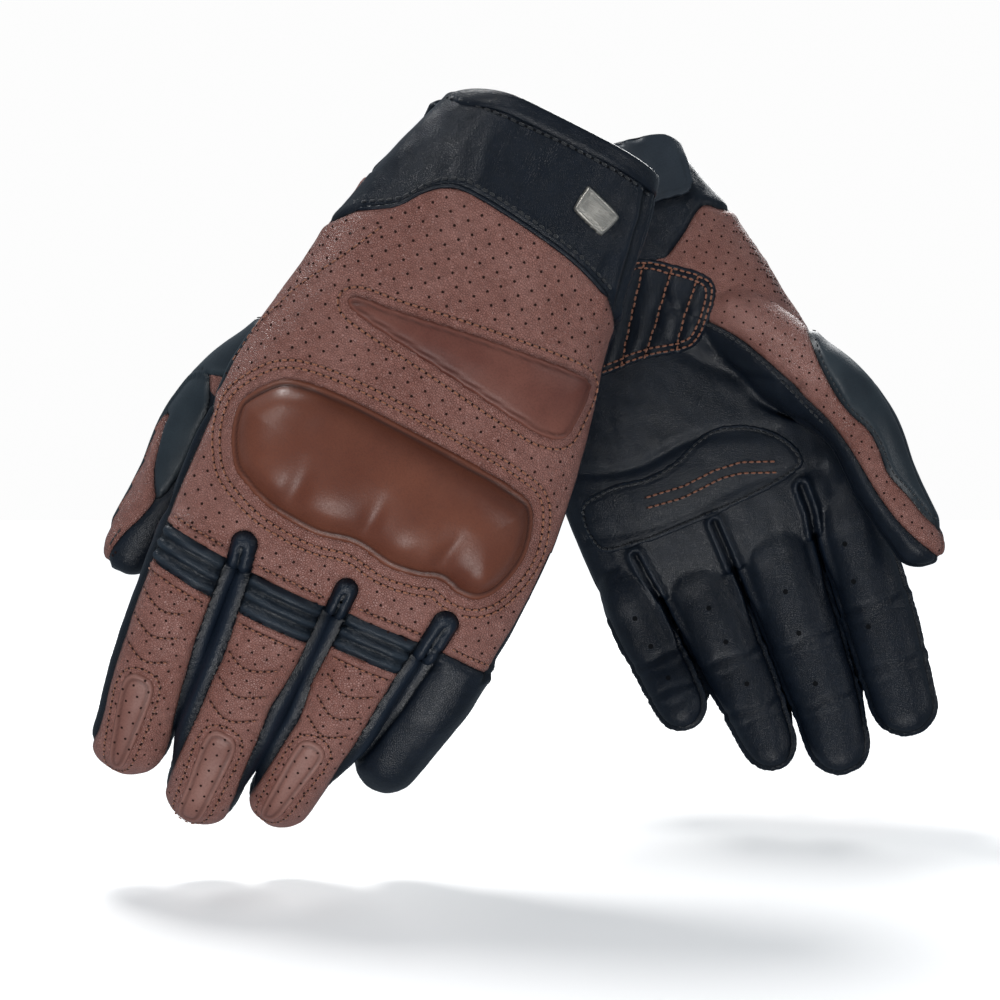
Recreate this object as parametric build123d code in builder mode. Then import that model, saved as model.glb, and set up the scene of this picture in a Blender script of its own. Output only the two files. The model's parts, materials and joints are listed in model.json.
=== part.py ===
"""Short-cuff leather riding gloves with knuckle armour, hung fingers down, one showing its back, one its palm.

Each glove is made once in its own frame: +X towards the thumb side, +Y towards the fingertips and +Z out of
the back of the hand. Both gloves are then placed in the pair's frame, whose origin is the centre of the front
glove's cuff mouth, with +Z up and +Y from the front glove to the rear one. All sizes are in millimetres.
"""

import os
from math import cos, radians, sin

from build123d import *

os.makedirs("parts", exist_ok=True)

# ---------------------------------------------------------------- driving dimensions
LEATHER = 2.0  # outer leather with its backing foam
LINING = 1.0  # knitted lining inside the leather
MOUTH = (1.0, -15.0, 0.0)  # centre of the cuff's mouth, at the binding's edge
CUFF_Y = -12.0  # where the cuff leather ends and its binding starts
KNUCKLE_Y = 141.0  # where the hand ends and the finger stalls start
CORNER = 0.9  # corner radius of a hand section, as a share of its half thickness

# Hand sections: y, little-finger side, thumb side, half thickness
HAND_SECTIONS = [
    (CUFF_Y, -33.0, 35.0, 20.0),
    (12.0, -38.5, 42.5, 20.5),
    (45.0, -44.5, 51.0, 18.5),
    (80.0, -53.0, 56.0, 17.0),
    (110.0, -57.5, 58.0, 16.0),
    (KNUCKLE_Y, -57.5, 55.0, 13.5),
]

# Stalls: knuckle centre, middle joint centre, fingertip centre and the radius at each
STALLS = {
    "index": ((42.0, 154.0, 0.0), (38.5, 181.0, -4.0), (33.2, 218.5, -16.0), (12.0, 11.7, 11.4)),
    "middle": ((12.0, 154.5, 0.0), (9.5, 184.0, -3.5), (5.7, 223.5, -16.0), (12.0, 11.8, 11.4)),
    "ring": ((-19.5, 153.5, 0.0), (-19.0, 180.0, -4.0), (-17.7, 213.5, -14.8), (11.8, 11.3, 10.8)),
    "little": ((-46.2, 152.5, -2.0), (-45.0, 170.0, -5.0), (-43.0, 189.0, -12.5), (10.8, 10.4, 10.2)),
    "thumb": ((58.5, 118.0, -24.5), (59.0, 141.0, -27.0), (60.0, 164.0, -29.5), (12.2, 11.3, 9.8)),
}
PADDED = ("index", "middle", "ring")  # fingers with a stretch panel and a tip pad
FOUR_FINGERS = ("index", "middle", "ring", "little")
THUMB_ROOT = (31.0, 66.0, -7.0)
THUMB_ROOT_RADIUS = 14.0
JOINT_GAP = 0.6  # clear space between a stall's ball and the piece before it
BALL_REACH = 0.7  # how far a ball reaches behind its centre, as a share of its radius

# Placing: each glove's turn from straight down and where its mouth's centre is
FRONT_TILT, FRONT_MOUTH = 27.0, (0.0, 0.0, 0.0)
REAR_TILT, REAR_MOUTH = 23.5, (11.4, 115.0, 12.6)
FRONT_YAW, REAR_YAW = 7.0, 12.0

PRISM = 60.0  # taller than a glove's half thickness
REACH = 90.0  # wider than a glove's half width


# ---------------------------------------------------------------- shared forms
def hand_form(grow):
    """The hand and cuff as one closed form, with its skin moved out by grow."""
    with BuildPart() as form:
        for y, little_side, thumb_side, half in HAND_SECTIONS:
            middle = ((little_side + thumb_side) / 2, y, 0)
            width = thumb_side - little_side + 2 * grow
            with BuildSketch(Plane(origin=middle, x_dir=(1, 0, 0), z_dir=(0, 1, 0))):
                RectangleRounded(width, 2 * (half + grow), (half + grow) * CORNER)
        loft()
    return form.part


SKIN = hand_form(0)
UNDER_LEATHER = hand_form(-LEATHER)
HAND_SPACE = hand_form(-LEATHER - LINING)


def stall_plane(start, end):
    """The plane at start whose Y runs to end and whose Z points across the stall."""
    along = (Vector(*end) - Vector(*start)).normalized()
    across = Vector(0, 0, 1).cross(along).normalized()
    return Plane(origin=start, x_dir=along.cross(across), z_dir=across)


def capsule(start, end, start_radius, end_radius):
    """A tapered round form with a ball at each end."""
    plane = stall_plane(start, end)
    length = (Vector(*end) - Vector(*start)).length
    with BuildPart() as form:
        with BuildSketch(plane):
            with BuildLine():
                root = CenterArc((0, 0), start_radius, -90, 90)
                tip = CenterArc((0, length), end_radius, 0, 90)
                Line(root @ 1, tip @ 0)
                Line(tip @ 1, root @ 0)
            make_face()
        revolve(axis=Axis(start, tuple(plane.y_dir)))
    return form.part


def cut_across(stall, start, end, distance, keep):
    """The stretch of a stall above (Keep.TOP) or below a cut square to it, distance past start."""
    along = (Vector(*end) - Vector(*start)).normalized()
    with BuildPart() as piece:
        add(stall)
        split(bisect_by=Plane(origin=Vector(*start) + along * distance, z_dir=along), keep=keep)
    return piece.part


def stall_tube(start, end, start_radius, end_radius):
    """A closed tapered tube of leather, with a ball at each end."""
    with BuildPart() as tube:
        add(capsule(start, end, start_radius, end_radius))
        add(capsule(start, end, start_radius - LEATHER, end_radius - LEATHER), mode=Mode.SUBTRACT)
    return tube.part


def length_between(start, end):
    return (Vector(*end) - Vector(*start)).length


pieces = {}  # node name: piece in the glove's own frame


def keep_piece(name, part):
    pieces[name] = part


# ---------------------------------------------------------------- hand and cuff leather
THUMB_KNUCKLE, _, _, THUMB_RADII = STALLS["thumb"]
THUMB_ROOT_END = length_between(THUMB_ROOT, THUMB_KNUCKLE) - THUMB_RADII[0] - JOINT_GAP
thumb_inside = capsule(THUMB_ROOT, THUMB_KNUCKLE, THUMB_ROOT_RADIUS - LEATHER, THUMB_RADII[0] - LEATHER)
thumb_skin = cut_across(
    stall_tube(THUMB_ROOT, THUMB_KNUCKLE, THUMB_ROOT_RADIUS, THUMB_RADII[0]),
    THUMB_ROOT,
    THUMB_KNUCKLE,
    THUMB_ROOT_END,
    Keep.BOTTOM,
)

with BuildPart() as thumb_gusset:
    add(thumb_skin)
    add(SKIN, mode=Mode.SUBTRACT)
keep_piece("thumb_gusset", thumb_gusset.part)

BACK_SEAM = [(-36, 25.5), (-24, 20.5), (0, 19.5), (20, 18.5), (31, 27), (42, 34), (54, 48)]
PALM_SEAM_Y = 30.0

with BuildSketch(Plane.XY) as back_side:
    with BuildLine():
        seam = Spline(*BACK_SEAM)
        Polyline(seam @ 1, (REACH, 50), (REACH, 200), (-REACH, 200), (-REACH, 27), seam @ 0)
    make_face()

with BuildSketch(Plane.XY) as palm_side:
    with Locations((0, PALM_SEAM_Y)):
        Rectangle(2 * REACH, 200, align=(Align.CENTER, Align.MIN))

with BuildPart() as hand_leather:
    add(SKIN)
    add(UNDER_LEATHER, mode=Mode.SUBTRACT)
    add(thumb_inside, mode=Mode.SUBTRACT)

with BuildPart() as back_panel:
    add(hand_leather.part)
    extrude(back_side.sketch, amount=PRISM, mode=Mode.INTERSECT)
keep_piece("back_panel", back_panel.part)

with BuildPart() as palm_panel:
    add(hand_leather.part)
    extrude(palm_side.sketch, amount=-PRISM, mode=Mode.INTERSECT)
keep_piece("palm_panel", palm_panel.part)

with BuildPart() as cuff:
    add(hand_leather.part)
    extrude(back_side.sketch, amount=PRISM, mode=Mode.SUBTRACT)
    extrude(palm_side.sketch, amount=-PRISM, mode=Mode.SUBTRACT)
keep_piece("cuff", cuff.part)

with BuildPart() as lining:
    add(UNDER_LEATHER)
    add(HAND_SPACE, mode=Mode.SUBTRACT)
    add(thumb_inside, mode=Mode.SUBTRACT)
keep_piece("lining", lining.part)

BINDING_LIP = 0.7
BINDING_ROUND = 0.9
_, MOUTH_LEFT, MOUTH_RIGHT, MOUTH_HALF = HAND_SECTIONS[0]
MOUTH_WIDTH = MOUTH_RIGHT - MOUTH_LEFT
BINDING_INSET = LEATHER + LINING + BINDING_LIP

with BuildPart() as cuff_binding:
    with BuildSketch(Plane(origin=(MOUTH[0], CUFF_Y, 0), x_dir=(1, 0, 0), z_dir=(0, -1, 0))):
        outer_half = MOUTH_HALF + BINDING_LIP
        inner_half = MOUTH_HALF - BINDING_INSET
        RectangleRounded(MOUTH_WIDTH + 2 * BINDING_LIP, 2 * outer_half, outer_half * CORNER)
        RectangleRounded(
            MOUTH_WIDTH - 2 * BINDING_INSET, 2 * inner_half, inner_half * CORNER, mode=Mode.SUBTRACT
        )
    extrude(amount=CUFF_Y - MOUTH[1])
    fillet(cuff_binding.faces().sort_by(Axis.Y)[0].edges(), radius=BINDING_ROUND)
keep_piece("cuff_binding", cuff_binding.part)

WEB_WALL = 3.0
WEB_DEPTH = 12.0
with BuildPart() as finger_webs:
    for one, other in zip(FOUR_FINGERS, FOUR_FINGERS[1:]):
        between = (STALLS[one][0][0] + STALLS[other][0][0]) / 2
        with Locations((between, KNUCKLE_Y - WEB_DEPTH / 2, 0)):
            Box(WEB_WALL, WEB_DEPTH, PRISM)
    add(HAND_SPACE, mode=Mode.INTERSECT)
keep_piece("finger_webs", finger_webs.part)

# ---------------------------------------------------------------- pieces sewn onto the skin
BACK, PALM = 1, -1


def sewn_on(outline, side, low, high):
    """A piece from low to high above the skin, inside an outline on the back or the palm."""
    with BuildPart() as piece:
        extrude(outline, amount=side * PRISM)
        add(hand_form(high), mode=Mode.INTERSECT)
        add(hand_form(low), mode=Mode.SUBTRACT)
        add(thumb_skin, mode=Mode.SUBTRACT)
    return piece.part


GUARD_HEIGHT = 9.0
GUARD_WALL = 2.2
GUARD_LEFT, GUARD_RIGHT = -48.0, 50.0
GUARD_LOW, GUARD_MIDDLE, GUARD_HIGH = 90.5, 110.0, 127.5
GUARD_CORNER = 15.0  # how far the corners round off along the lower and upper edges
GUARD_LOBES = 4  # one over each knuckle
LOBE_RISE = 3.0

with BuildSketch(Plane.XY) as guard_outline:
    with BuildLine():
        first, last = GUARD_LEFT + GUARD_CORNER, GUARD_RIGHT - GUARD_CORNER
        lobe = (last - first) / GUARD_LOBES
        ThreePointArc((first, GUARD_LOW), (GUARD_LEFT + 3.2, GUARD_LOW + 6.5), (GUARD_LEFT, GUARD_MIDDLE))
        ThreePointArc((GUARD_LEFT, GUARD_MIDDLE), (GUARD_LEFT + 4.2, GUARD_HIGH - 5), (first, GUARD_HIGH))
        for n in range(GUARD_LOBES):
            start = first + n * lobe
            crest = (start + lobe / 2, GUARD_HIGH + LOBE_RISE)
            ThreePointArc((start, GUARD_HIGH), crest, (start + lobe, GUARD_HIGH))
        ThreePointArc((last, GUARD_HIGH), (GUARD_RIGHT - 4.2, GUARD_HIGH - 5), (GUARD_RIGHT, GUARD_MIDDLE))
        ThreePointArc((GUARD_RIGHT, GUARD_MIDDLE), (GUARD_RIGHT - 3.2, GUARD_LOW + 6.5), (last, GUARD_LOW))
        ThreePointArc((last, GUARD_LOW), (MOUTH[0], GUARD_LOW - 1.5), (first, GUARD_LOW))
    make_face()

with BuildSketch(Plane.XY) as foam_outline:
    offset(guard_outline.sketch, amount=-GUARD_WALL, kind=Kind.ARC)

guard_foam = sewn_on(foam_outline.sketch, BACK, 0, GUARD_HEIGHT - GUARD_WALL)
keep_piece("guard_foam", guard_foam)

with BuildPart() as knuckle_guard:
    add(sewn_on(guard_outline.sketch, BACK, 0, GUARD_HEIGHT))
    add(guard_foam, mode=Mode.SUBTRACT)
keep_piece("knuckle_guard", knuckle_guard.part)

with BuildSketch(Plane.XY) as pad_outline:
    with BuildLine():
        Polyline((-43, 51), (36, 61.5), (36, 66), (-36, 74.5), (-43, 71), close=True)
    make_face()
    fillet(pad_outline.vertices(), radius=2.2)
keep_piece("back_pad", sewn_on(pad_outline.sketch, BACK, 0, 3.2))

with BuildSketch(Plane.XY) as badge_outline:
    with Locations(Location((-19.5, 6.2), -4)):
        RectangleRounded(13, 8, 1.8)
keep_piece("cuff_badge", sewn_on(badge_outline.sketch, BACK, 0, 1.2))

with BuildSketch(Plane.XY) as patch_outline:
    with BuildLine():
        edge = Spline((-46, 103), (-20, 103), (4, 104), (26, 114))
        Polyline(edge @ 1, (22, 130), (-20, 131), (-48, 126), edge @ 0)
    make_face()
keep_piece("palm_patch", sewn_on(patch_outline.sketch, PALM, 0, 1.2))

with BuildSketch(Plane.XY) as heel_outline:
    with BuildLine():
        Polyline((-38, 60), (-12, 64), (12, 66), (18, 62), (22, 54), (24, 44), (12, 34), (-34, 34), close=True)
    make_face()
    fillet(heel_outline.vertices(), radius=3)
keep_piece("heel_pad", sewn_on(heel_outline.sketch, PALM, 0, 2.6))

# ---------------------------------------------------------------- knuckle stretch panels
PANEL_WIDTH = 21.0
PANEL_LENGTH = 13.0
PANEL_WALL = 1.4
PANEL_LOW = STALLS["index"][3][0] + 0.8
RIBS = 3
RIB_RADIUS = 1.1

with BuildPart() as stretch_panels:
    panel_middle_y = KNUCKLE_Y + PANEL_LENGTH / 2
    knuckles = [(STALLS[name][0][0], panel_middle_y, PANEL_LOW) for name in PADDED]
    with Locations(*knuckles):
        Box(PANEL_WIDTH, PANEL_LENGTH, PANEL_WALL, align=(Align.CENTER, Align.CENTER, Align.MIN))
    with Locations(*((x, y, z + PANEL_WALL) for x, y, z in knuckles)):
        with GridLocations(0, PANEL_LENGTH / RIBS, 1, RIBS):
            Cylinder(RIB_RADIUS, PANEL_WIDTH, rotation=(0, 90, 0))
keep_piece("stretch_panels", stretch_panels.part)

# ---------------------------------------------------------------- wrist strap with its hook-and-loop tape
LOOP_TOP = 0.8  # heights above the cuff's skin
HOOK_LOW, HOOK_TOP = 1.1, 1.7
STRAP_TOP = 3.5

with BuildSketch(Plane.XY) as strap_outline:
    with BuildLine():
        Polyline((30.5, -11), (34, 11), (-21, 11), (-25, 6), (-23, -8), (-19, -11), close=True)
    make_face()
keep_piece("wrist_strap", sewn_on(strap_outline.sketch, PALM, HOOK_TOP, STRAP_TOP))

with BuildSketch(Plane.XY) as tape_outline:
    with Locations((-9, 0)):
        RectangleRounded(22, 16, 2)
keep_piece("loop_tape", sewn_on(tape_outline.sketch, PALM, 0, LOOP_TOP))
keep_piece("hook_tape", sewn_on(tape_outline.sketch, PALM, HOOK_LOW, HOOK_TOP))

# ---------------------------------------------------------------- finger and thumb stalls
for name, (knuckle, middle, tip, radii) in STALLS.items():
    base_end = length_between(knuckle, middle) - radii[1] - JOINT_GAP
    base = stall_tube(knuckle, middle, radii[0], radii[1])
    base = cut_across(base, knuckle, middle, -BALL_REACH * radii[0], Keep.TOP)
    keep_piece(f"{name}_base", cut_across(base, knuckle, middle, base_end, Keep.BOTTOM))
    tip_stall = stall_tube(middle, tip, radii[1], radii[2])
    keep_piece(f"{name}_tip", cut_across(tip_stall, middle, tip, -BALL_REACH * radii[1], Keep.TOP))

PAD_HEIGHT = 1.6
PAD_LENGTH, PAD_WIDTH, PAD_ROUND = 28.0, 10.0, 3.0
PAD_MIDDLE = 28.0  # from the middle joint along the stall

for name in PADDED:
    _, middle, tip, radii = STALLS[name]
    across_stall = stall_plane(middle, tip)
    over_stall = Plane(origin=middle, x_dir=across_stall.y_dir, z_dir=across_stall.x_dir)
    with BuildPart() as tip_pad:
        add(capsule(middle, tip, radii[1] + PAD_HEIGHT, radii[2] + PAD_HEIGHT))
        add(capsule(middle, tip, radii[1], radii[2]), mode=Mode.SUBTRACT)
        with BuildSketch(over_stall):
            with Locations((PAD_MIDDLE, 0)):
                RectangleRounded(PAD_LENGTH, PAD_WIDTH, PAD_ROUND)
        extrude(amount=PRISM, mode=Mode.INTERSECT)
    keep_piece(f"{name}_pad", tip_pad.part)


# ---------------------------------------------------------------- placing both gloves
def glove_plane(mouth, across, out_of_back):
    """The plane that carries a glove's own frame to its place, with its mouth's centre at mouth."""
    turned = Plane(origin=(0, 0, 0), x_dir=across, z_dir=out_of_back)
    return Plane(
        origin=Vector(*mouth) - turned.from_local_coords(Vector(*MOUTH)), x_dir=across, z_dir=out_of_back
    )


def yawed(across, out_of_back, yaw):
    """The glove's two directions, turned about its own length so that the thumb side faces the view more."""
    u, w, angle = Vector(*across), Vector(*out_of_back), radians(yaw)
    return u * cos(angle) + w * sin(angle), w * cos(angle) - u * sin(angle)


front_across = (-cos(radians(FRONT_TILT)), 0, sin(radians(FRONT_TILT)))
rear_across = (cos(radians(REAR_TILT)), 0, sin(radians(REAR_TILT)))
PLACES = {
    "front": glove_plane(FRONT_MOUTH, *yawed(front_across, (0, -1, 0), FRONT_YAW)),
    "rear": glove_plane(REAR_MOUTH, *yawed(rear_across, (0, 1, 0), -REAR_YAW)),
}

for side, place in PLACES.items():
    for name, part in pieces.items():
        placed = part.moved(place.location)
        placed.label = f"{side}_{name}"
        export_step(placed, f"parts/{side}_{name}.step")
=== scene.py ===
"""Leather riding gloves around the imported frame: grained and perforated leather, seams, stitches and armour.

Each glove is built once in its own frame, in millimetres: u towards the thumb side, v towards the fingertips
and w out of the back of the hand. It is then placed on the frame twice, as the front and as the rear glove.
"""

import json
import math
import bpy
import numpy as np
from mathutils import Matrix, Vector
from mathutils.bvhtree import BVHTree


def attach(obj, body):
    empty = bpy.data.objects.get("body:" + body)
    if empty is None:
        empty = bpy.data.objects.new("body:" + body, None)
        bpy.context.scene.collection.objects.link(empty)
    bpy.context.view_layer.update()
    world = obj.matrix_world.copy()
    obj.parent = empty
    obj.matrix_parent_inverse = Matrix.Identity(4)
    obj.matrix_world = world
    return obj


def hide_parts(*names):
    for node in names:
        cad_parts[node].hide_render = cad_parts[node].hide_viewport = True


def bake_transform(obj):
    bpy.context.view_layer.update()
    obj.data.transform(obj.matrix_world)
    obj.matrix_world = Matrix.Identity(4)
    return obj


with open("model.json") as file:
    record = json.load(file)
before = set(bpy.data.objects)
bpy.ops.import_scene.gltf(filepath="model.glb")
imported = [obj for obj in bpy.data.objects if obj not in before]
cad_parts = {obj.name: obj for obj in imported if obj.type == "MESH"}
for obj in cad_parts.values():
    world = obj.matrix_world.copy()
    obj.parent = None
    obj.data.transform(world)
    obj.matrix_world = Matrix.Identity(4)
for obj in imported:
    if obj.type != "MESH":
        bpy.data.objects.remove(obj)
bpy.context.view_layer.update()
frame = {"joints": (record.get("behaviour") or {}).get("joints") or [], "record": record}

MM = 0.001
SIDES = ("front", "rear")
FINGERS = ("index", "middle", "ring", "little")
DIGITS = FINGERS + ("thumb",)
JOINTS = {j["name"]: j for j in frame["joints"]}
MOUNTS = {m["name"]: m for m in frame["record"]["mounts"]}
MOUTH = Vector((1.0, -15.0, 0.0))  # centre of the cuff's mouth in the glove's own frame


def glove_matrix(side):
    """The glove's own frame in the row frame, read from its knuckle axis and its mouth."""
    u = -Vector(JOINTS[f"{side}_middle_knuckle"]["axis"]).normalized()
    v = -Vector(MOUNTS[f"{side}_cuff_mouth"]["axis"]).normalized()
    w = u.cross(v)
    turn = Matrix((u, v, w)).transposed() * MM
    return Matrix.Translation(Vector(MOUNTS[f"{side}_cuff_mouth"]["pos_m"]) - turn @ MOUTH) @ turn.to_4x4()


PLACES = {side: glove_matrix(side) for side in SIDES}
INTO_GLOVE = PLACES["front"].inverted()
KNUCKLE = {d: INTO_GLOVE @ Vector(JOINTS[f"front_{d}_knuckle"]["pos_m"]) for d in DIGITS}
MIDDLE = {d: INTO_GLOVE @ Vector(JOINTS[f"front_{d}_middle_joint"]["pos_m"]) for d in DIGITS}

# ------------------------------------------------ the skin's driving dimensions, in mm
VOXEL = 1.0
HAND = [  # v, little-finger side, thumb side, back, palm, squareness of the section
    (-15, -33, 35, 20, -20, 2.5),
    (0, -37, 39.5, 20.5, -20.5, 2.5),
    (20, -40.5, 45.5, 20.5, -20.5, 2.6),
    (40, -44, 50, 20, -19, 2.6),
    (60, -49.5, 53, 19, -18, 2.6),
    (80, -54, 56, 18, -17, 2.6),
    (100, -57, 57.5, 17.5, -16, 2.6),
    (120, -58, 57.5, 17, -15, 2.6),
    (138, -57.5, 56, 15.5, -13.5, 2.6),
    (150, -56.5, 54.5, 12.5, -11, 2.4),
]
# v, little-finger side, thumb side, half thickness; the last row is where the tip's dome starts
FINGER_TABLE = {
    "index": [
        (136, 29, 54, 10), (150, 28.4, 55, 13), (165, 27, 53.6, 12.8), (181, 25.2, 51.8, 12.4),
        (202, 23, 49, 11.8), (218.5, 21.8, 45.6, 11.2),
    ],
    "middle": [
        (136, -2, 26, 10), (150, -3.9, 27.6, 13.4), (165, -4.5, 26, 13.2), (184, -4.9, 23.9, 12.6),
        (204, -5.2, 21.8, 12), (223.5, -5.2, 17.4, 11.2),
    ],
    "ring": [
        (136, -31, -7, 10), (150, -34.8, -4.7, 12.8), (165, -34, -5.3, 12.5), (180, -33, -5.7, 11.8),
        (197, -30.3, -6, 11.4), (213.5, -28, -7.4, 10.7),
    ],
    "little": [
        (134, -55, -36, 9), (148, -58, -35.8, 11.6), (160, -57.6, -35, 11.2), (170, -56.2, -34.4, 10.8),
        (180, -54.6, -33.6, 10.4), (189, -53, -33, 10.1),
    ],
}
THUMB_TABLE = [  # along the thumb's axis points: place and half widths across and through
    ((30, 62, -5), 15, 15),
    ((40, 80, -11), 15.5, 14),
    ((51, 100, -18), 14, 12.5),
]
THUMB_RADII = (12.3, 11.4, 9.2)  # at its knuckle, its middle joint and its tip
THUMB_LEAN = Vector((0.1, 1, -0.11)).normalized()  # the way its last stretch points
THUMB_TIP_REACH = 23.5  # from the middle joint to the centre of the tip's dome
THUMB_ENDS = (KNUCKLE["thumb"], MIDDLE["thumb"], MIDDLE["thumb"] + THUMB_LEAN * THUMB_TIP_REACH)
THUMB_ROWS = THUMB_TABLE + [(tuple(p), radius, radius) for p, radius in zip(THUMB_ENDS, THUMB_RADII)]
THUMB_LINE, THUMB_RADIUS = [r[0] for r in THUMB_ROWS], [r[1] for r in THUMB_ROWS]
RING_POINTS = 56
FINGER_SQUARE, TIP_SQUARE, THUMB_SQUARE = 2.35, 2.1, 2.15  # how squared the sections are; 2 is round
DOME_ANGLES = np.radians(np.arange(12, 90, 11))  # the rings of a tip's dome
RING_STEP = 3.0  # between the rings of a loft
NARROW = 0.8  # each finger side gives way by this while the skin is made even, so neighbours stay apart
THUMB_CLEAR = np.array([2.5, 0, -5.0])  # and the thumb stands off the hand by this


# ------------------------------------------------ small curve tools
def smooth_table(x, rows):
    """Columns of a table read at x, on a curve without overshoot through its rows."""
    rows = np.array(rows, float)
    xs, ys = rows[:, 0], rows[:, 1:]
    slope = np.diff(ys, axis=0) / np.diff(xs)[:, None]
    tangent = np.zeros_like(ys)
    same = slope[1:] * slope[:-1] > 0
    tangent[1:-1] = np.where(same, 2 * slope[1:] * slope[:-1] / np.where(same, slope[1:] + slope[:-1], 1), 0)
    tangent[0], tangent[-1] = slope[0], slope[-1]
    x = np.clip(np.atleast_1d(np.asarray(x, float)), xs[0], xs[-1])
    i = np.clip(np.searchsorted(xs, x) - 1, 0, len(xs) - 2)
    h = (xs[i + 1] - xs[i])[:, None]
    t = (x - xs[i])[:, None] / h
    return (
        (2 * t**3 - 3 * t**2 + 1) * ys[i]
        + (t**3 - 2 * t**2 + t) * h * tangent[i]
        + (3 * t**2 - 2 * t**3) * ys[i + 1]
        + (t**3 - t**2) * h * tangent[i + 1]
    )


def spline(points, step=1.0, closed=False):
    """A smooth line through points of any dimension, sampled about every step."""
    p = np.array(points, float)
    if closed:
        p = np.vstack([p[-1], p, p[:2]])
    else:
        p = np.vstack([2 * p[0] - p[1], p, 2 * p[-1] - p[-2]])
    out = []
    for a, b, c, d in zip(p, p[1:], p[2:], p[3:]):
        n = max(2, int(np.linalg.norm(c - b) / step) + 1)
        t = np.linspace(0, 1, n, endpoint=False)[:, None]
        squared, cubed = 2 * a - 5 * b + 4 * c - d, 3 * b - a - 3 * c + d
        out.append(0.5 * (2 * b + (c - a) * t + squared * t**2 + cubed * t**3))
    if not closed:
        out.append(p[-2][None])
    return np.vstack(out)


def resample(line, pitch, closed=False):
    """Points evenly spaced along a line, about pitch apart."""
    if closed:
        line = np.vstack([line, line[:1]])
    length = np.concatenate([[0], np.cumsum(np.linalg.norm(np.diff(line, axis=0), axis=1))])
    n = max(2, int(round(length[-1] / pitch)))
    at = np.linspace(0, length[-1], n + 1)[: n if closed else n + 1]
    return np.stack([np.interp(at, length, line[:, k]) for k in range(line.shape[1])], 1)


def distance_to(points, line, closed=False):
    """Distance from 2-D points to a line of 2-D points."""
    if closed:
        line = np.vstack([line, line[:1]])
    best = np.full(len(points), 1e9)
    for a, b in zip(line, line[1:]):
        d = b - a
        t = np.clip(((points - a) @ d) / max(d @ d, 1e-9), 0, 1)
        best = np.minimum(best, np.hypot(*(points - a - t[:, None] * d).T))
    return best


def inside(points, outline):
    """Signed distance to a closed 2-D outline, positive inside it."""
    x, y = points.T
    within = np.zeros(len(points), bool)
    for (x0, y0), (x1, y1) in zip(outline, np.roll(outline, -1, axis=0)):
        crosses = (y0 > y) != (y1 > y)
        within ^= crosses & (x < (x1 - x0) * (y - y0) / (y1 - y0 if y1 != y0 else 1e-9) + x0)
    distance = distance_to(points, outline, closed=True)
    return np.where(within, distance, -distance)


def bump(x, width):
    return np.exp(-((x / width) ** 2))


def rise(x, low, high):
    t = np.clip((x - low) / (high - low), 0, 1)
    return t * t * (3 - 2 * t)


# ------------------------------------------------ meshes as arrays
class Skin:
    """Triangles over points that carry their place and normal: columns x y z nx ny nz."""

    def __init__(self, rows, faces):
        self.rows, self.faces = rows, faces

    @property
    def at(self):
        return self.rows[:, :3]

    @property
    def normal(self):
        return self.rows[:, 3:6]

    def clip(self, field):
        """The part where field is positive, cut cleanly along its zero line."""
        keep = field > 0
        count = keep[self.faces].sum(1)
        whole = self.faces[count == 3]
        odd_one = []
        for many, want in ((1, True), (2, False)):
            f = self.faces[count == many]
            first = np.argmax(keep[f] == want, axis=1)
            odd_one.append(np.stack([f[np.arange(len(f)), (first + k) % 3] for k in range(3)], 1))
        one, two = odd_one
        pairs = np.vstack([one[:, [0, 1]], one[:, [0, 2]], two[:, [0, 1]], two[:, [0, 2]]])
        edges, index = np.unique(np.sort(pairs, axis=1), axis=0, return_inverse=True)
        a, b = edges.T
        t = (field[a] / (field[a] - field[b]))[:, None] if len(edges) else np.zeros((0, 1))
        cut_rows = self.rows[a] * (1 - t) + self.rows[b] * t
        index = index.ravel() + len(self.rows)
        n1, n2 = len(one), len(two)
        p, q, r, s = index[:n1], index[n1 : 2 * n1], index[2 * n1 : 2 * n1 + n2], index[2 * n1 + n2 :]
        faces = np.vstack([
            whole,
            np.stack([one[:, 0], p, q], 1),
            np.stack([r, two[:, 1], two[:, 2]], 1),
            np.stack([r, two[:, 2], s], 1),
        ])
        rows = np.vstack([self.rows, cut_rows])
        used, faces = np.unique(faces, return_inverse=True)
        return Skin(rows[used], faces.reshape(-1, 3))


def bare_object(name, at, faces):
    mesh = bpy.data.meshes.new(name)
    mesh.from_pydata(np.asarray(at, float).tolist(), [], [list(map(int, f)) for f in faces])
    mesh.update()
    return bpy.data.objects.new(name, mesh)


def evaluated(obj):
    """The points and triangles of an object with its modifiers applied."""
    bpy.context.scene.collection.objects.link(obj)
    mesh = bpy.data.meshes.new_from_object(obj.evaluated_get(bpy.context.evaluated_depsgraph_get()))
    mesh.calc_loop_triangles()
    at = np.zeros(len(mesh.vertices) * 3)
    mesh.vertices.foreach_get("co", at)
    faces = np.zeros(len(mesh.loop_triangles) * 3, int)
    mesh.loop_triangles.foreach_get("vertices", faces)
    old = obj.data
    bpy.data.objects.remove(obj)
    bpy.data.meshes.remove(old)
    bpy.data.meshes.remove(mesh)
    return at.reshape(-1, 3), faces.reshape(-1, 3)


def normals_of(at, faces):
    a, b, c = (at[faces[:, k]] for k in range(3))
    face_normal = np.cross(b - a, c - a)
    out = np.zeros_like(at)
    for k in range(3):
        for axis in range(3):
            out[:, axis] += np.bincount(faces[:, k], face_normal[:, axis], len(at))
    return out / np.maximum(np.linalg.norm(out, axis=1), 1e-12)[:, None]


def edges_of(faces):
    return np.vstack([faces[:, [0, 1]], faces[:, [1, 2]], faces[:, [2, 0]]])


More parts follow.
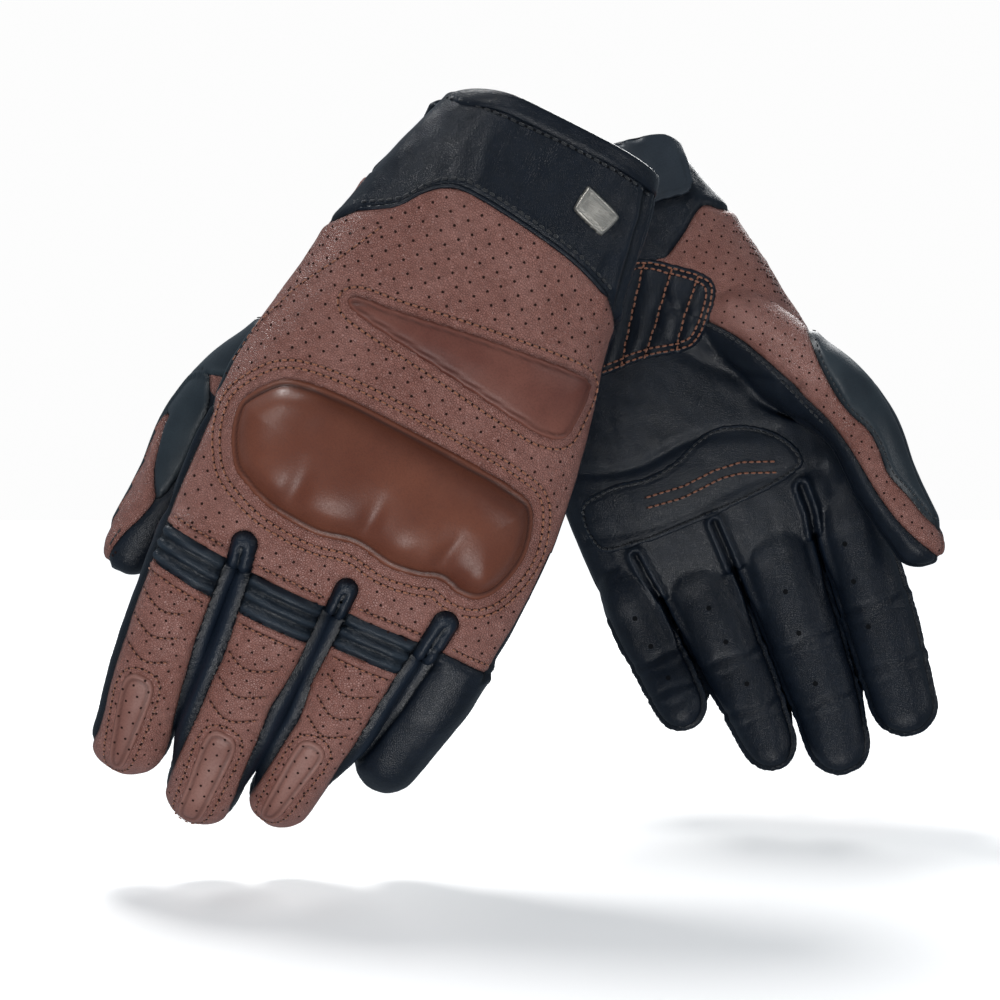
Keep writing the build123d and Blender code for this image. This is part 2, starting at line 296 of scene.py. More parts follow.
def neighbour_mean(faces, count):
    """A function that gives the mean of each point's neighbours."""
    a, b = np.unique(np.sort(edges_of(faces), axis=1), axis=0).T
    degree = np.maximum(np.bincount(np.concatenate([a, b]), minlength=count), 1)[:, None]

    def mean(values):
        total = np.zeros_like(values)
        for k in range(values.shape[1]):
            total[:, k] = np.bincount(a, values[b, k], count) + np.bincount(b, values[a, k], count)
        return total / degree

    return mean


def relax(at, faces, rounds, share=0.5):
    """Evens out a surface's steps and keeps its size."""
    mean = neighbour_mean(faces, len(at))
    for _ in range(rounds):
        for amount in (share, -share * 1.04):
            at = at + amount * (mean(at) - at)
    return at


def relax_open(values, faces, rounds):
    """Evens out values over an open surface."""
    mean = neighbour_mean(faces, len(values))
    for _ in range(rounds):
        values = values + 0.5 * (mean(values) - values)
    return values


def border_of(faces):
    """The edges that only one face has."""
    edges = edges_of(faces)
    _, index, count = np.unique(np.sort(edges, axis=1), axis=0, return_index=True, return_counts=True)
    return edges[index[count == 1]]


def sleeve(count, sides, closed):
    """Triangles that join rings of points, each to the next."""
    faces = []
    for r in range(count if closed else count - 1):
        s = (r + 1) % count
        for k in range(sides):
            after = (k + 1) % sides
            a, b, c, d = r * sides + k, s * sides + k, s * sides + after, r * sides + after
            faces += [(a, b, c), (a, c, d)]
    return faces


def caps(count, sides):
    """Triangles that close the first and the last ring of a sleeve."""
    last = (count - 1) * sides
    ends = [(0, k, k + 1) for k in range(1, sides - 1)]
    return ends + [(last, last + k + 1, last + k) for k in range(1, sides - 1)]


def ring(middle, across, through, square):
    """A closed ring round middle; across and through are vectors as long as its half widths."""
    a = np.linspace(0, 2 * math.pi, RING_POINTS, endpoint=False)
    c, s = np.cos(a), np.sin(a)
    return (
        np.array(middle)
        + np.outer(np.sign(c) * np.abs(c) ** (2 / square), across)
        + np.outer(np.sign(s) * np.abs(s) ** (2 / square), through)
    )


def loft(rings):
    n = RING_POINTS
    faces = [list(range(n))[::-1], [len(rings) * n - n + k for k in range(n)]]
    for r in range(len(rings) - 1):
        faces += [[r * n + k, r * n + (k + 1) % n, r * n + n + (k + 1) % n, r * n + n + k] for k in range(n)]
    return np.vstack(rings), faces


def finger_middle(name, v):
    """Height of a finger's middle line, which curls towards the palm."""
    k, m = KNUCKLE[name], MIDDLE[name]
    tip_v, tip_w = TIP_LINE[name]
    return np.interp(v, [k.y, m.y, tip_v, tip_v + 12], [k.z, m.z, tip_w, tip_w - 4.5])


TIP_LINE = {"index": (218.5, -16), "middle": (223.5, -16), "ring": (213.5, -14.8), "little": (189, -12.5)}


def finger_rings(name):
    table = FINGER_TABLE[name]
    start, end = table[0][0], table[-1][0]
    rings = []
    for v in np.arange(start, end + 0.1, RING_STEP):
        left, right, half = smooth_table(v, table)[0]
        middle = ((left + right) / 2, v, float(finger_middle(name, v)))
        across = (right - left) / 2 - NARROW * float(rise(v, 144, 150))
        rings.append(ring(middle, (across, 0, 0), (0, 0, half), FINGER_SQUARE))
    left, right, half = table[-1][1:]
    left, right = left + NARROW, right - NARROW
    for angle in DOME_ANGLES:
        v = end + math.sin(angle) * half
        size = math.cos(angle)
        middle = ((left + right) / 2, v, float(finger_middle(name, v)))
        rings.append(ring(middle, ((right - left) / 2 * size, 0, 0), (0, 0, half * size), TIP_SQUARE))
    return rings


def thumb_rings():
    line = spline(THUMB_LINE, RING_STEP)
    count = len(THUMB_ROWS)
    share = np.linspace(0, count - 1, len(line))
    widths = np.stack([np.interp(share, range(count), [r[j] for r in THUMB_ROWS]) for j in (1, 2)], 1)
    heading = np.gradient(line, axis=0)
    heading /= np.linalg.norm(heading, axis=1)[:, None]
    rings = []
    root_angles = np.radians([15, 45, 70])

    def place(middle, d, a, b):
        through = np.cross(np.array([1.0, 0, 0]), d)
        through /= np.linalg.norm(through)
        return ring(middle, np.cross(d, through) * -a, through * b, THUMB_SQUARE)

    for size, back in zip(np.sin(root_angles), np.cos(root_angles)):
        rings.append(place(line[0] - heading[0] * widths[0, 0] * back, heading[0], *(widths[0] * size)))
    for p, d, (a, b) in zip(line, heading, widths):
        rings.append(place(p, d, a, b))
    for angle in DOME_ANGLES:
        middle = line[-1] + heading[-1] * widths[-1, 0] * math.sin(angle)
        rings.append(place(middle, heading[-1], *(widths[-1] * math.cos(angle))))
    return [r + THUMB_CLEAR * rise(r[:, 1].mean(), 90, 114) for r in rings]


def hand_ring(v, outwards):
    left, right, back, palm, square = smooth_table(v, HAND)[0]
    middle = ((left + right) / 2, v, (back + palm) / 2)
    return ring(middle, ((right - left) / 2 + outwards, 0, 0), (0, 0, (back - palm) / 2 + outwards), square)


def thumb_distance(at):
    """How far points lie outside the thumb's tube, measured from its middle line."""
    out = np.full(len(at), 99.0)
    line = np.array(THUMB_LINE)
    for a, b, r0, r1 in zip(line[1:], line[2:], THUMB_RADIUS[1:], THUMB_RADIUS[2:]):
        d = b - a
        t = np.clip(((at - a) @ d) / (d @ d), 0, 1)
        out = np.minimum(out, np.linalg.norm(at - a - t[:, None] * d, axis=1) - r0 - (r1 - r0) * t)
    return out


GAPS = [  # where neighbouring fingers meet: v, u
    [(120, 31.5), (141, 30.2), (150, 28), (214, 20), (250, 15.5)],
    [(120, -3.8), (141, -4.2), (150, -4.6), (219, -6), (250, -6.6)],
    [(120, -37.2), (135, -36.5), (150, -35.3), (190, -32), (250, -27)],
]


def gap_u(number, v):
    return np.interp(v, *np.array(GAPS[number]).T)


def finger_number(at):
    """0 for the index finger to 3 for the little finger."""
    return sum((at[:, 0] < gap_u(n, at[:, 1])).astype(int) for n in range(3))


def merged_skin():
    """The hand, fingers and thumb as one even surface."""
    at, faces, base = [], [], 0
    hand_rings = [hand_ring(v, 0) for v in np.arange(-21, 150.1, RING_STEP)]
    for rings in [hand_rings, thumb_rings()] + [finger_rings(name) for name in FINGERS]:
        points, quads = loft(rings)
        at.append(points)
        faces += [[base + k for k in f] for f in quads]
        base += len(points)
    obj = bare_object("form", np.vstack(at), faces)
    remesh = obj.modifiers.new("even", "REMESH")
    remesh.mode = "VOXEL"
    remesh.voxel_size = VOXEL
    at, faces = evaluated(obj)
    at = relax(at, faces, 8)
    clear = THUMB_CLEAR * rise(at[:, 1:2], 90, 114)
    thumb = 1 - rise(thumb_distance(at - clear), 2.0, 4.5)
    at = at - clear * thumb[:, None]
    widen = NARROW * rise(at[:, 1], 144, 150) * (thumb < 0.5)
    for number, name in enumerate(FINGERS):
        left, right, half = smooth_table(at[:, 1], FINGER_TABLE[name]).T
        mine = finger_number(at) == number
        share = np.clip((at[:, 0] - (left + right) / 2) / ((right - left) / 2 - NARROW), -1, 1)
        at[:, 0] += np.where(mine, widen * share, 0)
    return at, faces, thumb * rise(at[:, 1], 96, 108)


# ------------------------------------------------ the pattern: where each leather starts and ends
CUFF_SEAM = [
    (53, 47), (51, 45), (45, 38), (35, 32), (30, 25), (25, 20.5), (18, 18.5), (0, 19.5), (-20, 22), (-35, 26),
    (-43, 32),
]
BAND_EDGE = [(60, 70), (104, 64), (107, 58.6), (112, 56.2), (125, 55.6), (140, 54.6), (150, 53.6)]  # v, u
HOODS = [  # gap number, v of the top, then v and half width of the black leather between two fingers
    (0, 139.5, [(141, 4.2), (150, 4.2), (178, 4.7), (197, 3.3), (212, 1.9), (222, 1.4)]),
    (1, 138.5, [(141, 3.7), (165, 3.4), (172, 3.0), (186, 4.6), (205, 3.0), (219, 1.6), (228, 1.3)]),
    (2, 134.0, [(135, 4.4), (150, 4.0), (170, 3.6), (190, 2.4), (205, 1.6), (220, 1.3)]),
]
LITTLE_SEAM = 146.8
STRIPS = {  # accordion strips: u, then v of its near and far edge, at the little-finger and the thumb side
    "index": [(27, 150.4, 163.4), (55, 148.2, 160.2)],
    "middle": [(-5, 150.0, 162.6), (29, 150.6, 163.4)],
    "ring": [(-36, 146.8, 158.6), (-4, 148.8, 160.4)],
}
PALM_BROWN = [
    (15, 33), (19, 33), (28, 28), (36, 22), (40, 21), (46, 25), (58, 30), (95, 60), (95, 190), (72, 190),
    (68, 177),
    (64, 168), (60, 160), (56.5, 150), (54.5, 140), (52.5, 125), (49.5, 112), (45.5, 102), (41, 90),
    (36.5, 80),
    (31, 70), (23, 60), (14, 50),
]
PALM_PAD = [
    (60, 75.5), (57.5, 76.5), (55.5, 81), (54.6, 90), (54.8, 98), (55.6, 106), (57.6, 113), (60.8, 120),
    (61.6, 128),
    (61.2, 137), (64.6, 147), (67.2, 156), (70, 163), (74, 172), (95, 172), (95, 74),
]
BACK_PAD_THUMB = [
    (61.6, 106.5), (63.4, 103.4), (67, 100.6), (76, 97), (95, 97), (95, 118), (72.6, 119.5), (70.4, 124),
    (68.8, 130),
    (66.8, 137), (63.8, 142.6), (61.2, 146), (59, 143), (57.6, 135), (57.4, 125), (59, 113),
]
BACK_BROWN_THUMB = [
    (95, 60), (95, 97), (76, 97), (68, 100), (64, 102.4), (62.2, 105.5), (59, 108), (45, 108), (30, 60),
]
BACK_TIP_THUMB = [
    (95, 118), (72.6, 119.5), (70.4, 124), (68.8, 130), (66.8, 137), (63.8, 142.6), (61.4, 146), (61.8, 150),
    (63.2, 155), (65.2, 160), (66.8, 168), (67.4, 182), (95, 182),
]
HAND_SIDE = (-2.5, 1.5)  # height of the side seam at the little-finger and the thumb side
GUARD = [
    (-44, 94), (-35, 91), (-20, 90), (0, 89.5), (20, 89.5), (35, 91), (43, 94.5), (49, 103), (50, 108),
    (48, 116),
    (43, 124), (37, 127.5), (32, 129.5), (25, 131), (12, 131.5), (0, 129), (-12, 130.5), (-22, 129),
    (-28, 127),
    (-35, 128.5), (-42, 127), (-47, 120), (-49, 107),
]
CHEVRONS = {
    "index": [
        [(50.6, 169.4), (43, 173), (35.5, 171)],
        [(49.6, 178), (42, 181.5), (34, 178.6)],
        [(49, 186), (41, 190), (33.6, 187)],
    ],
    "middle": [
        [(20.6, 174.4), (12, 178), (2.5, 174)],
        [(19.6, 183), (11, 187), (2, 183)],
        [(18.6, 191.4), (10, 195.4), (1.4, 191.4)],
    ],
    "ring": [
        [(-11.4, 168.4), (-19, 172), (-27.6, 168.6)],
        [(-11.6, 176), (-19, 180), (-27, 176.4)],
        [(-12, 183.4), (-19, 187), (-26, 183.6)],
    ],
}
CHEVRON_LINES = [spline(line, 1.5) for lines in CHEVRONS.values() for line in lines]
STRIP_SEWN = {"index": (33, 52.5), "middle": (1, 23), "ring": (-30.5, -10)}  # u of the strips' stitches
STITCH_INSET = 2.8  # from a strip's edge to its stitches


def strip_edges(name, u):
    rows = np.array(STRIPS[name])
    return np.interp(u, rows[:, 0], rows[:, 1]), np.interp(u, rows[:, 0], rows[:, 2])


def strip_stitches():
    """The stitch lines along both edges of the accordion strips."""
    lines = []
    for name, (low, high) in STRIP_SEWN.items():
        us = np.linspace(low, high, 12)
        near, far = strip_edges(name, us)
        lines += [np.stack([us, near - STITCH_INSET], 1), np.stack([us, far + STITCH_INSET], 1)]
    return lines


STRIP_STITCHES = strip_stitches()


def hood_field(flat):
    """Positive in the black leather between the fingers, on the back of the glove."""
    u, v = flat[:, 0], flat[:, 1]
    best = np.full(len(flat), -99.0)
    for number, top, widths in HOODS:
        widths = np.array(widths)
        half = np.interp(v, widths[:, 0], widths[:, 1])
        start = top + widths[0, 1]
        off = u - gap_u(number, v)
        straight = half - np.abs(off)
        round_top = widths[0, 1] - np.hypot(u - gap_u(number, np.full(len(u), start)), v - start)
        best = np.maximum(best, np.where(v < start, round_top, straight))
    return best


def outer_edge(flat):
    """Distance inside the dorsal brown leather's edge along the index and little-finger sides."""
    u, v = flat[:, 0], flat[:, 1]
    thumb_side = np.interp(v, *np.array(BAND_EDGE).T) - u
    index_right = smooth_table(v, FINGER_TABLE["index"])[:, 1] - 1.5 - u
    thumb_side = np.where(v > 150, index_right, thumb_side)
    little_side = u - smooth_table(v, HAND)[:, 0] - 0.7
    return np.minimum(thumb_side, np.where(v < 150, little_side, 9.0))


def back_field(flat, thumb):
    """Positive in the brown leather of the back of the hand and fingers."""
    u, v = flat[:, 0], flat[:, 1]
    cuff = v - np.interp(u, *np.array(CUFF_SEAM[::-1]).T)
    little = np.where(u < gap_u(2, v), LITTLE_SEAM - v, 9.0)
    hand = np.minimum.reduce([cuff, -hood_field(flat), outer_edge(flat), little])
    outlines = (spline_outline(BACK_BROWN_THUMB), spline_outline(BACK_TIP_THUMB))
    on_thumb = np.maximum(*(inside(flat[:, :2], outline) for outline in outlines))
    return np.where(thumb > 0.5, on_thumb, hand)


def spline_outline(points, step=2.0):
    return spline(points, step, closed=True)


def strip_field(flat):
    """Positive in the accordion strips over the knuckles."""
    u, v = flat[:, 0], flat[:, 1]
    number = finger_number(flat)
    best = np.full(len(flat), -9.0)
    for k, name in enumerate(("index", "middle", "ring")):
        near, far = strip_edges(name, u)
        best = np.where(number == k, np.minimum(v - near, far - v), best)
    return best


def side_field(flat, thumb):
    """Positive on the back of the glove, negative on the palm."""
    u, v, w = flat.T
    hand = np.interp(u, [-50, 50], HAND_SIDE)
    finger = np.zeros(len(flat))
    for k, name in enumerate(FINGERS):
        finger = np.where(finger_number(flat) == k, finger_middle(name, v), finger)
    level = hand + (finger - hand) * rise(v, 136, 156)
    line = np.array(THUMB_LINE)
    thumb_level = np.interp(v, line[:, 1], line[:, 2]) + 1.0
    return w - (level + (thumb_level - level) * thumb)


# ------------------------------------------------ relief: seams sink in, leather swells between them
RNG = np.random.default_rng(7)
WAVES = [(RNG.normal(size=3), RNG.uniform(0, 6.28)) for _ in range(26)]


def waves(at, length, many=13, first=0):
    """Smooth irregular swelling, about -1 to 1, with bumps about length apart."""
    total = np.zeros(len(at))
    for direction, phase in WAVES[first : first + many]:
        unit = direction / np.linalg.norm(direction)
        total += np.sin(at @ unit * (2 * math.pi / length) * (0.7 + 0.6 * abs(direction[0])) + phase)
    return total / math.sqrt(many) * 0.8


def fold(at, line, width, height):
    """A soft ridge along a line seen from the back or the palm."""
    return height * bump(distance_to(at[:, :2], spline(line, 2.0)), width)


TIP_SEAM = 5.2  # how far below a finger's middle line its palm side is sewn on


def relief(flat, side, thumb):
    """Height to add along the normal, and how much painted shade darkens the colour there, strongest along the
    seams.
    """
    u, v, w = flat.T
    back = side > 0
    out = np.zeros(len(flat))
    painted_shade = np.zeros(len(flat))

    def seam(distance, width=0.9, depth=0.75, puff=0.45, reach=4.5, where=True):
        nonlocal out, painted_shade
        line = bump(distance, width) * where
        # painted shade: each seam darkens the colour along its line
        painted_shade = np.maximum(painted_shade, line)
        out = out - depth * line + puff * bump(np.abs(distance) - reach * 0.55, reach * 0.5) * where

    hood = hood_field(flat)
    on_back = back & (thumb < 0.5)
    seam(np.abs(hood), 0.7, 0.6, 0.0, where=on_back & (v > 132))
    hood_height = 1.9 * np.sqrt(rise(hood, 0.1, 2.2)) * rise(v, 132, 136) * (1 - rise(v, 195, 222))
    out += np.where(on_back, hood_height, 0)
    centre = np.full(len(flat), 99.0)
    for number, top, widths in HOODS:
        centre = np.minimum(centre, np.abs(u - gap_u(number, v)) + 9 * rise(top + 5 - v, 0, 4))
    seam(centre, 0.75, 1.25, 0.0, where=on_back * (1 - rise(v, 152, 160)))
    cuff = v - np.interp(u, *np.array(CUFF_SEAM[::-1]).T)
    seam(cuff, 0.9, 0.5, 0.35, where=on_back & (v < 60))
    seam(side, 1.0, 0.8, 0.4, where=(thumb < 0.5) & (v > 25))
    edge = outer_edge(flat)
    seam(edge, 0.8, 0.7, 0.3, where=on_back & (v > 104))
    seam(v - LITTLE_SEAM, 0.8, 0.7, 0.3, where=on_back & (u < gap_u(2, v)))
    strip = strip_field(flat)
    number = finger_number(flat)
    for k, name in enumerate(("index", "middle", "ring")):
        near, far = strip_edges(name, u)
        t = (v - near) / (far - near)
        ridges = np.abs(np.sin(np.clip(t, 0, 1) * 3 * math.pi)) ** 0.8
        mine = on_back & (number == k) & (t > 0) & (t < 1)
        clear = rise(-hood, 0.0, 0.8) * rise(edge, 0.0, 1.0)
        out += np.where(mine, (2.3 * ridges - 1.2) * clear, 0)
        # painted shade: the valleys between the strip's ribs get a darker colour
        painted_shade = np.where(mine, np.maximum(painted_shade, 0.9 * (1 - ridges) * clear), painted_shade)
    lips = on_back * (number < 3) * rise(-hood, 0.0, 0.8) * rise(edge, 0.0, 1.0)
    out += lips * 0.9 * bump(strip + 1.3, 0.9)
    for line in CHEVRON_LINES + STRIP_STITCHES:
        seam(distance_to(flat[:, :2], line), 0.6, 0.22, 0.0, where=on_back & (hood < -0.6))
    rings = np.abs(inside(flat[:, :2], spline_outline(GUARD)) + 4.2)
    out += np.where(on_back, 0.35 * bump(rings, 0.8) - 0.3 * bump(np.abs(rings - 1.1), 0.5), 0)

    palm = ~back
    flat2 = flat[:, :2]
    brown = inside(flat2, spline_outline(PALM_BROWN))
    seam(brown, 0.9, 0.8, 0.5, where=palm & (v > 34) | (palm & (u > 20)))
    pad = inside(flat2, spline_outline(PALM_PAD))
    seam(pad, 0.8, 0.7, 0.0, where=palm & (u > 40))
    out += np.where(palm & (u > 40), 0.9 * rise(pad, 0.4, 2.4), 0)
    thumb_pad = inside(flat2, spline_outline(BACK_PAD_THUMB))
    seam(thumb_pad, 0.8, 0.7, 0.0, where=back & (thumb > 0.5))
    tip = inside(flat2, spline_outline(BACK_TIP_THUMB))
    seam(tip, 0.8, 0.6, 0.0, where=back & (thumb > 0.5))
    for number_of_gap, top, widths in HOODS:  # slim raised webs at the roots of the fingers, on the palm
        off = u - gap_u(number_of_gap, v)
        web = bump(np.abs(off) - 2.4, 1.0) * rise(v, 126, 131) * (1 - rise(v, 160, 176))
        top_round = bump(np.hypot(off, v - 131) - 2.4, 1.0) * (v < 131)
        out += np.where(palm & (thumb < 0.5), 1.7 * np.maximum(web * (v >= 131), top_round), 0)
        seam(off, 0.8, 1.1, 0.0, where=palm & (thumb < 0.5) & (v > 130) & (v < 165))
    welt = palm & (thumb < 0.5) & (v > 150)
    seam(side + TIP_SEAM, 0.6, 0.9, 0.0, where=welt)
    out += np.where(welt, 0.8 * bump(side + TIP_SEAM - 1.3, 0.8), 0)
    seam(side + TIP_SEAM, 0.6, 0.6, 0.0, where=palm & (thumb > 0.5))
    for name in FINGERS:  # creases where the fingers bend
        mine = palm & (number == FINGERS.index(name)) & (v > 146)
        for j, centre_v in enumerate((MIDDLE[name].y, (MIDDLE[name].y + FINGER_TABLE[name][-1][0]) / 2 + 3)):
            wobble = 0.8 * np.sin(u * 0.35 + j)
            second = 0.2 * bump(v - centre_v - 4.5 + wobble, 1.1)
            out -= np.where(mine, 0.4 * bump(v - centre_v - wobble, 1.3) + second, 0)
            out += np.where(mine, 0.25 * bump(v - centre_v - 2.4, 1.6), 0)
    crease = fold(flat, [(44, 96), (26, 84), (10, 66), (6, 52)], 2.4, -1.2)
    crease += fold(flat, [(-50, 92), (-24, 100), (4, 99), (30, 108)], 2.0, -1.0)
    crease += fold(flat, [(-52, 118), (-20, 124), (14, 122), (40, 128)], 2.2, -0.9)
    crease += fold(flat, [(34, 60), (44, 76), (50, 96)], 5.0, 1.3)
    out += np.where(palm & (thumb < 0.5), crease, 0)
    pleats = np.sin(w * 0.95 + 0.045 * v + 0.8) * rise(-u, 27, 33) * (1 - rise(v, 34, 48))
    pleats *= np.where(back, rise(-cuff, 0.5, 3.0), 1)
    out += 1.1 * pleats
    # painted shade in the valleys of the pleats
    painted_shade = np.maximum(painted_shade, 0.8 * rise(-pleats, 0.3, 1.0))
    wrinkles = 0.35 * waves(flat, 26) + 0.2 * waves(flat, 11, first=13)
    out += wrinkles * (0.6 + 0.6 * rise(-v, -40, 0))
    return out, painted_shade


SEWN = 1.2  # leather turned in at each cut edge
MOUTH_SLOPE, MOUTH_CORNER = 2.6, 4.4  # how far the mouth is cut back at its thumb side


def mouth_rise(u):
    """How far the mouth lies towards the fingers, across the glove."""
    return MOUTH_SLOPE * np.clip((u + 33) / 68, 0, 1) + MOUTH_CORNER * np.clip((u - 16) / 19, 0, 1.1) ** 2


def full_skin():
    """Columns: place, normal, flat place, side, thumb share, painted shade of the seams."""
    flat, faces, thumb = merged_skin()
    normal = normals_of(flat, faces)
    side = side_field(flat, thumb)
    height, painted_shade = relief(flat, side, thumb)
    at = flat + normal * height[:, None]
    at = relax(at, faces, 1, 0.3)
    normal = normals_of(at, faces)
    high = rise(height, 0.5, 1.6)
    rows = np.hstack([at, normal, flat, side[:, None], thumb[:, None], painted_shade[:, None], high[:, None]])
    skin = Skin(rows, faces)
    return skin.clip(rows[:, FLAT_V] - MOUTH.y - mouth_rise(rows[:, FLAT_U]))


FLAT, FLAT_U, FLAT_V = slice(6, 9), 6, 7  # the skin's columns
# the third of these columns is painted shade: how much the colour darkens in seams and creases
SIDE, THUMB, PAINTED_SHADE, HIGH = 9, 10, 11, 12


# ------------------------------------------------ materials
def nodes_of(name, roughness, specular, sheen=0.0):
    material = bpy.data.materials.new(name)
    material.use_nodes = True
    tree = material.node_tree
    shader = tree.nodes["Principled BSDF"]
    shader.inputs["Roughness"].default_value = roughness
    shader.inputs["Specular IOR Level"].default_value = specular
    shader.inputs["Sheen Weight"].default_value = sheen
    return material, tree, shader


def srgb(*rgb):
    """A colour given as it looks on screen, 0 to 255, as the linear values that shaders take."""
    shares = [c / 255 for c in rgb]
    return tuple(c / 12.92 if c <= 0.04045 else ((c + 0.055) / 1.055) ** 2.4 for c in shares) + (1,)


class Graph:
    """Short names for the nodes that the materials share. Places come from the rest attribute, in mm."""

    def __init__(self, tree):
        self.tree = tree
        self.rest = self.node("ShaderNodeAttribute", attribute_name="rest").outputs["Vector"]

    def node(self, kind, inputs=(), **settings):
        n = self.tree.nodes.new(kind)
        for key, value in settings.items():
            setattr(n, key, value)
        for key, value in dict(inputs).items():
            if isinstance(value, bpy.types.NodeSocket):
                self.tree.links.new(value, n.inputs[key])
            else:
                n.inputs[key].default_value = value
        return n

    def value(self, name):
        return self.node("ShaderNodeAttribute", attribute_name=name).outputs["Fac"]

    def noise(self, scale, detail=4.0, roughness=0.55, distortion=0.0):
        n = self.node("ShaderNodeTexNoise", {"Vector": self.rest, "Scale": scale, "Detail": detail})
        n.inputs["Roughness"].default_value = roughness
        n.inputs["Distortion"].default_value = distortion
        return n.outputs["Fac"]

    def cells(self, scale, feature="DISTANCE_TO_EDGE"):
        n = self.node("ShaderNodeTexVoronoi", {"Vector": self.rest, "Scale": scale}, feature=feature)
        return n.outputs["Distance"]

    def remap(self, value, low, high, to_low=0.0, to_high=1.0):
        ends = {"Value": value, "From Min": low, "From Max": high, "To Min": to_low, "To Max": to_high}
        return self.node("ShaderNodeMapRange", ends).outputs["Result"]

    def mix(self, share, a, b):
        n = self.node("ShaderNodeMix", data_type="RGBA")
        for socket, value in ((n.inputs[0], share), (n.inputs[6], a), (n.inputs[7], b)):
            if isinstance(value, bpy.types.NodeSocket):
                self.tree.links.new(value, socket)
            else:
                socket.default_value = value
        return n.outputs[2]

    def maths(self, how, a, b=0.0):
        return self.node("ShaderNodeMath", {0: a, 1: b}, operation=how).outputs[0]

    def bump(self, height, distance, strength=1.0, under=None):
        n = self.node("ShaderNodeBump", {"Height": height, "Distance": distance, "Strength": strength})
        if under:
            self.tree.links.new(under, n.inputs["Normal"])
        return n.outputs["Normal"]


def leather(name, tone, dark, light, grain, depth, rough, specular=0.5, patch=0.55):
    """Grained leather: pebbled cells, pores, cloudy colour, painted shade darkening the seams and creases,
    paler on worn high spots.
    """
    tone, dark, light = srgb(*tone), srgb(*dark), srgb(*light)
    material, tree, shader = nodes_of(name, rough, specular)
    g = Graph(tree)
    clouds = g.remap(g.noise(0.05, 5, 0.6), 0.34, 0.66)
    mottle = g.remap(g.noise(0.42, 3, 0.6), 0.36, 0.68)
    cell = g.cells(grain)
    pores = g.noise(2.6, 3, 0.7)
    creases = g.noise(0.22, 3, 0.5, 1.2)
    colour = g.mix(g.maths("MULTIPLY", clouds, patch), tone, light)
    colour = g.mix(g.maths("MULTIPLY", mottle, 0.32), colour, dark)
    colour = g.mix(g.remap(cell, 0.10, 0.0, 0.0, 0.30), colour, dark)
    # painted shade: the colour darkens in seams, grooves and pleats, where shade would fall
    colour = g.mix(g.remap(g.value("painted_shade"), 0.25, 0.95, 0.0, 0.75), colour, dark)
    colour = g.mix(g.remap(g.value("high"), 0.2, 1.0, 0.0, 0.5), colour, light)
    tree.links.new(colour, shader.inputs["Base Color"])
    fine = g.remap(pores, 0.3, 0.7, rough - 0.07, rough + 0.09)
    tree.links.new(g.maths("ADD", fine, g.remap(clouds, 0, 1, -0.04, 0.04)), shader.inputs["Roughness"])
    height = g.maths("ADD", g.remap(cell, 0.0, 0.22), g.maths("MULTIPLY", pores, 0.35))
    normal = g.bump(creases, depth * 4.0, 0.55)
    normal = g.bump(height, depth, 1.0, normal)
    tree.links.new(normal, shader.inputs["Normal"])
    return material


def smooth_hide(name, tone, dark, light, rough, specular):
    """Smooth coated leather or a moulded shell skinned with it: fine grain, soft clouds, rubbed edges and
    painted shade in the seams.
    """
    tone, dark, light = srgb(*tone), srgb(*dark), srgb(*light)
    material, tree, shader = nodes_of(name, rough, specular)
    g = Graph(tree)
    clouds = g.remap(g.noise(0.035, 4, 0.55), 0.33, 0.68)
    fine = g.noise(1.6, 4, 0.6)
    colour = g.mix(g.maths("MULTIPLY", clouds, 0.7), tone, light)
    colour = g.mix(g.remap(fine, 0.42, 0.75, 0.0, 0.3), colour, dark)
    # painted shade: the colour darkens in the seams and in the grooves round each pad
    colour = g.mix(g.remap(g.value("painted_shade"), 0.2, 0.95, 0.0, 0.8), colour, dark)
    colour = g.mix(g.remap(g.value("high"), 0.3, 1.0, 0.0, 0.55), colour, light)
    tree.links.new(colour, shader.inputs["Base Color"])
    tree.links.new(g.remap(fine, 0.3, 0.7, rough - 0.06, rough + 0.08), shader.inputs["Roughness"])
    height = g.maths("ADD", g.maths("MULTIPLY", g.cells(1.9), 0.5), fine)
    tree.links.new(g.bump(height, 0.00005, 0.9), shader.inputs["Normal"])
    return material


def thread(name, tone, dark):
    """Sewing thread: two plies twisted along the stitch."""
    material, tree, shader = nodes_of(name, 0.62, 0.4, sheen=0.3)
    g = Graph(tree)
    ply = g.noise(5.5, 2, 0.5)
    tree.links.new(g.mix(g.remap(ply, 0.35, 0.65), tone, dark), shader.inputs["Base Color"])
    tree.links.new(g.bump(ply, 0.00008), shader.inputs["Normal"])
    return material


def hole_shade(name, tone, light):
    """Dark discs that mark punched holes and needle holes; their dark colour is painted shade for the holes'
    insides.
    """
    material, tree, shader = nodes_of(name, 0.9, 0.15)
    g = Graph(tree)
    tree.links.new(g.mix(g.noise(3.0, 2), tone, light), shader.inputs["Base Color"])
    return material


def knit(name, tone, dark):
    """Lining knit: rows of small loops."""
    material, tree, shader = nodes_of(name, 0.9, 0.2, sheen=0.5)
    g = Graph(tree)
    loops = g.cells(1.5, "F1")
    tree.links.new(g.mix(g.remap(loops, 0.1, 0.7), tone, dark), shader.inputs["Base Color"])
    tree.links.new(g.bump(loops, 0.0004), shader.inputs["Normal"])
    return material


def brushed(name, tone, dark):
    """Brushed metal plate with fine lines and dulled spots."""
    material, tree, shader = nodes_of(name, 0.38, 0.5)
    shader.inputs["Metallic"].default_value = 0.85
    g = Graph(tree)
    squeeze = g.node("ShaderNodeVectorMath", {0: g.rest, 1: (0.4, 9.0, 1.0)}, operation="MULTIPLY").outputs[0]
    lines = g.node("ShaderNodeTexNoise", {"Vector": squeeze, "Scale": 1.2, "Detail": 4.0}).outputs["Fac"]
    tree.links.new(g.mix(g.remap(lines, 0.3, 0.7), tone, dark), shader.inputs["Base Color"])
    tree.links.new(g.remap(lines, 0.3, 0.7, 0.3, 0.5), shader.inputs["Roughness"])
    tree.links.new(g.bump(lines, 0.00003), shader.inputs["Normal"])
    return material


